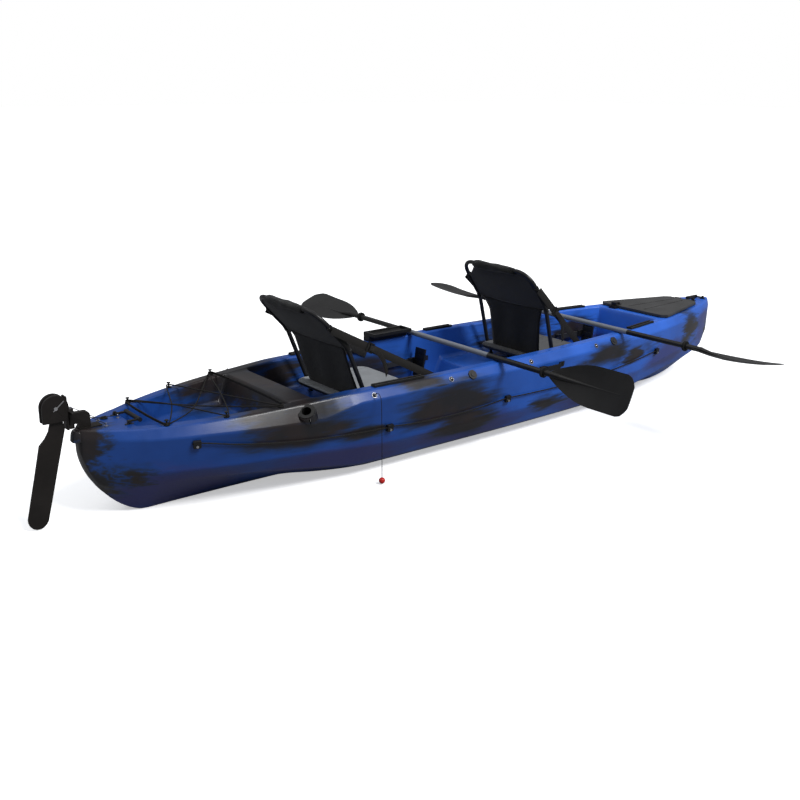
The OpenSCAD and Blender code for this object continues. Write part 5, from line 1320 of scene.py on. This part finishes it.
class KAYAK_OT_seat_straps(bpy.types.Operator):
    """Side straps of the seat backs, with their buckles and loose tails"""
    bl_idname = "kayak.seat_straps"
    bl_label = "Seat straps"

    FROM_V = 430.0
    CLEAR = 9.5
    LOW_ENDS = {"rear": (420.0, 324.3, 45.0), "front": (270.0, RAIL_Y + TUBE_R + 1.8, 0.0)}
    # The strap starts behind the tube: out from its line, and back along it
    LOOP = ((2, 20), (0, 8))
    ROWS = 26
    BOW = 2.2
    HALF_THICK = 1.2
    # Outline of a band, as shares of its width and of half its thickness
    BAND = ((-0.5, -0.6), (-0.47, -1), (0.47, -1), (0.5, -0.6),
            (0.5, 0.6), (0.47, 1), (-0.47, 1), (-0.5, 0.6))
    BUCKLE_AT = 0.3
    BUCKLE_OUT = 3.5
    BUCKLE_LEN = 40.0
    SIDE_BAR = 5.0
    CROSS_BARS = ((-17, 6), (0, 7), (17, 6))
    BAR_LAYERS = ((0.0, 0.8, 4.6), (0.8, 0.0, 5.4))
    # The tail leaves the buckle out from the strap, on along it and down
    TAIL = ((9, 0, 0), (14, 32, 2), (13, 66, 18), (10, 92, 50), (8, 106, 94))
    TAIL_SHARE = 0.72
    TAIL_STEP = 8.0

    def execute(self, context):
        sizes = context.scene.kayak_sizes
        for seat in SEATS:
            self.straps(seat, sizes.strap / MM)
        return {"FINISHED"}

    def straps(self, seat, width):
        top = np.array(on_back(seat, BACK_Y + TUBE_R + self.CLEAR, self.FROM_V, 0)) / MM
        low = np.array((SEATS[seat][0], 0.0, SEAT_Z)) + self.LOW_ENDS[seat]
        start, end = (low[0] * MM, 0, low[2] * MM), (top[0] * MM, 0, top[2] * MM)
        on = (low - top) / np.linalg.norm(low - top)
        wide = np.cross(on, (0, 1, 0))
        wide /= np.linalg.norm(wide)
        out = np.cross(wide, on)
        path = [top + (0, y, 0) - on * back for y, back in self.LOOP]
        path += [top + (low - top) * t + out * self.BOW * math.sin(math.pi * t)
                 for t in np.linspace(0, 1, self.ROWS)]
        grip = top + (low - top) * self.BUCKLE_AT
        tail = smooth_route([grip + out * a + on * b - (0, 0, drop) for a, b, drop in self.TAIL],
                            self.TAIL_STEP)
        strap, buckle = ([], [], []), ([], [])
        for _, s in SIDES:
            mirror = np.array((1, s, 1))
            self.ribbon(np.array(path), wide, width, mirror, *strap)
            self.ribbon(tail, wide, self.TAIL_SHARE * width, mirror, *strap)
            self.buckle(grip + out * self.BUCKLE_OUT, (on, wide, out), width, mirror, *buckle)
        points, faces, chart = strap
        webbing_piece = add_piece(seat + "_strap_webbing", points, faces, finish_of("web"), chart, 50)
        buckles = add_piece(seat + "_ladder_buckles", *buckle, finish_of("black"), sharp=40)
        for piece, slot, node in ((webbing_piece, "webbing", "_seat_straps"),
                                  (buckles, "black_plastic", "_strap_buckles")):
            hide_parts(seat + node)
            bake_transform(piece)
            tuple(start)
            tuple(end)

    def ribbon(self, path, wide, width, mirror, points, faces, chart):
        """Add a closed flat band along a path."""
        tangent = np.gradient(path, axis=0)
        faces += ring_faces(len(path), len(self.BAND), len(points))
        for p, t, run in zip(path, tangent, run_along(path)):
            out = np.cross(wide, t / np.linalg.norm(t))
            out /= np.linalg.norm(out)
            for a, b in self.BAND:
                points.append((p + wide * a * width + out * b * self.HALF_THICK) * mirror * MM)
                chart.append((a + 0.5, run * MM))

    def buckle(self, middle, axes, width, mirror, points, faces):
        """Add a ladder buckle: two side bars and three cross bars with rounded corners."""
        aside = (width + self.SIDE_BAR) / 2
        bars = [(0, s * aside, self.BUCKLE_LEN, self.SIDE_BAR) for s in (-1, 1)]
        bars += [(at, 0, wide, width + self.SIDE_BAR) for at, wide in self.CROSS_BARS]
        for a, b, length, wide in bars:
            for inset, low, high in self.BAR_LAYERS:
                da, db = length / 2 - inset, wide / 2 - inset
                faces += ring_faces(2, 4, len(points))
                for h in (low, high):
                    for corner in ((-da, -db), (da, -db), (da, db), (-da, db)):
                        place = np.array((a + corner[0], b + corner[1], h)) @ np.array(axes)
                        points.append((middle + place) * mirror * MM)


class KAYAK_OT_foot_braces(bpy.types.Operator):
    """Finishes of the foot rails and pedals"""
    bl_idname = "kayak.foot_braces"
    bl_label = "Foot braces"

    def execute(self, context):
        edge = context.scene.kayak_sizes.edge
        dress("foot_rails", finish_of("rail"), edge)
        for place in ("rear", "front"):
            for side in ("port", "starboard"):
                dress(place + "_pedal_" + side, finish_of("black"), edge)
        return {"FINISHED"}


class KAYAK_OT_paddles(bpy.types.Operator):
    """Finishes of the paddles, and the ribs that run from their shafts into the blades"""
    bl_idname = "kayak.paddles"
    bl_label = "Paddles"

    # Middle in plan, turn of the starboard blade and feather of the port one, in degrees
    PADDLES = {"rear": ((-78.0, 60.0), -67.0, 45.0), "front": ((900.0, -30.0), 9.0, 0.0)}
    PADDLE_Z = 464.8
    SHAFT_R = 14.5
    BLADE_FROM = 800.0
    BLADE_LEN = 510.0
    DIP, RISE = 80.0, 100.0
    RIB_SHARES = (0.095, 0.86)
    RIB_ROWS, RIB_SIDES = 30, 16
    RIB_PROUD = 0.3
    RIB_END_R = 4.2
    # Where along the blade the rib starts to sink in and to get thinner, over what share, and the power
    SINK = (0.10, 0.28, 0.8)
    TAPER = (0.11, 0.50, 0.7)

    def execute(self, context):
        edge = context.scene.kayak_sizes.edge
        for place in self.PADDLES:
            dress(place + "_paddle_shaft", finish_of("shaft"))
            dress(place + "_paddle_blades", finish_of("paddle"), 0.5 * edge, 55.0)
            dress(place + "_paddle_rings", finish_of("rubber"), edge)
            for side, s in SIDES:
                self.rib(place, side, s)
        return {"FINISHED"}

    def rib(self, place, side, s):
        (x, y), turn, feather = self.PADDLES[place]
        spin = math.radians(turn + (feather if s > 0 else 0.0))
        path, outlines = [], []
        for u in np.linspace(*self.RIB_SHARES, self.RIB_ROWS):
            sink, taper = (clamped((u - start) / over) ** power
                           for start, over, power in (self.SINK, self.TAPER))
            h = (self.RISE * u * u - self.DIP * u) * sink
            path.append((x + h * math.sin(spin), y + s * (self.BLADE_FROM + u * self.BLADE_LEN),
                         self.PADDLE_Z + h * math.cos(spin)))
            radius = self.SHAFT_R + self.RIB_PROUD + (self.RIB_END_R - self.SHAFT_R) * taper
            outlines.append(circle(radius * MM, self.RIB_SIDES))
        rib = swept("%s_paddle_rib_%s" % (place, side), np.array(metres(path)), outlines,
                    finish_of("paddle"), sharp=60)
        attach(rib, place + "_paddle")


STEPS = (KAYAK_OT_stage, KAYAK_OT_cords, KAYAK_OT_hull, KAYAK_OT_fittings, KAYAK_OT_rudder,
         KAYAK_OT_seat_slings, KAYAK_OT_seat_backs, KAYAK_OT_seat_straps, KAYAK_OT_foot_braces,
         KAYAK_OT_paddles)


class KAYAK_PT_looks(bpy.types.Panel):
    """Kayak looks in the 3D view's sidebar"""
    bl_idname = "KAYAK_PT_looks"
    bl_label = "Kayak looks"
    bl_space_type = "VIEW_3D"
    bl_region_type = "UI"
    bl_category = "Kayak"

    def draw(self, context):
        for step in STEPS:
            self.layout.operator(step.bl_idname)
        for group in (context.scene.kayak_colours, context.scene.kayak_sizes):
            box = self.layout.box()
            for key in group.__annotations__:
                box.prop(group, key)


CLASSES = (KayakColours, KayakSizes, *STEPS, KAYAK_PT_looks)


def register():
    for cls in CLASSES:
        bpy.utils.register_class(cls)
    bpy.types.Scene.kayak_colours = PointerProperty(type=KayakColours)
    bpy.types.Scene.kayak_sizes = PointerProperty(type=KayakSizes)


def unregister():
    del bpy.types.Scene.kayak_sizes
    del bpy.types.Scene.kayak_colours
    for cls in reversed(CLASSES):
        bpy.utils.unregister_class(cls)


def main():
    register()
    for step in STEPS:
        group, name = step.bl_idname.split(".")
        getattr(getattr(bpy.ops, group), name)()


if __name__ == "__main__":
    main()
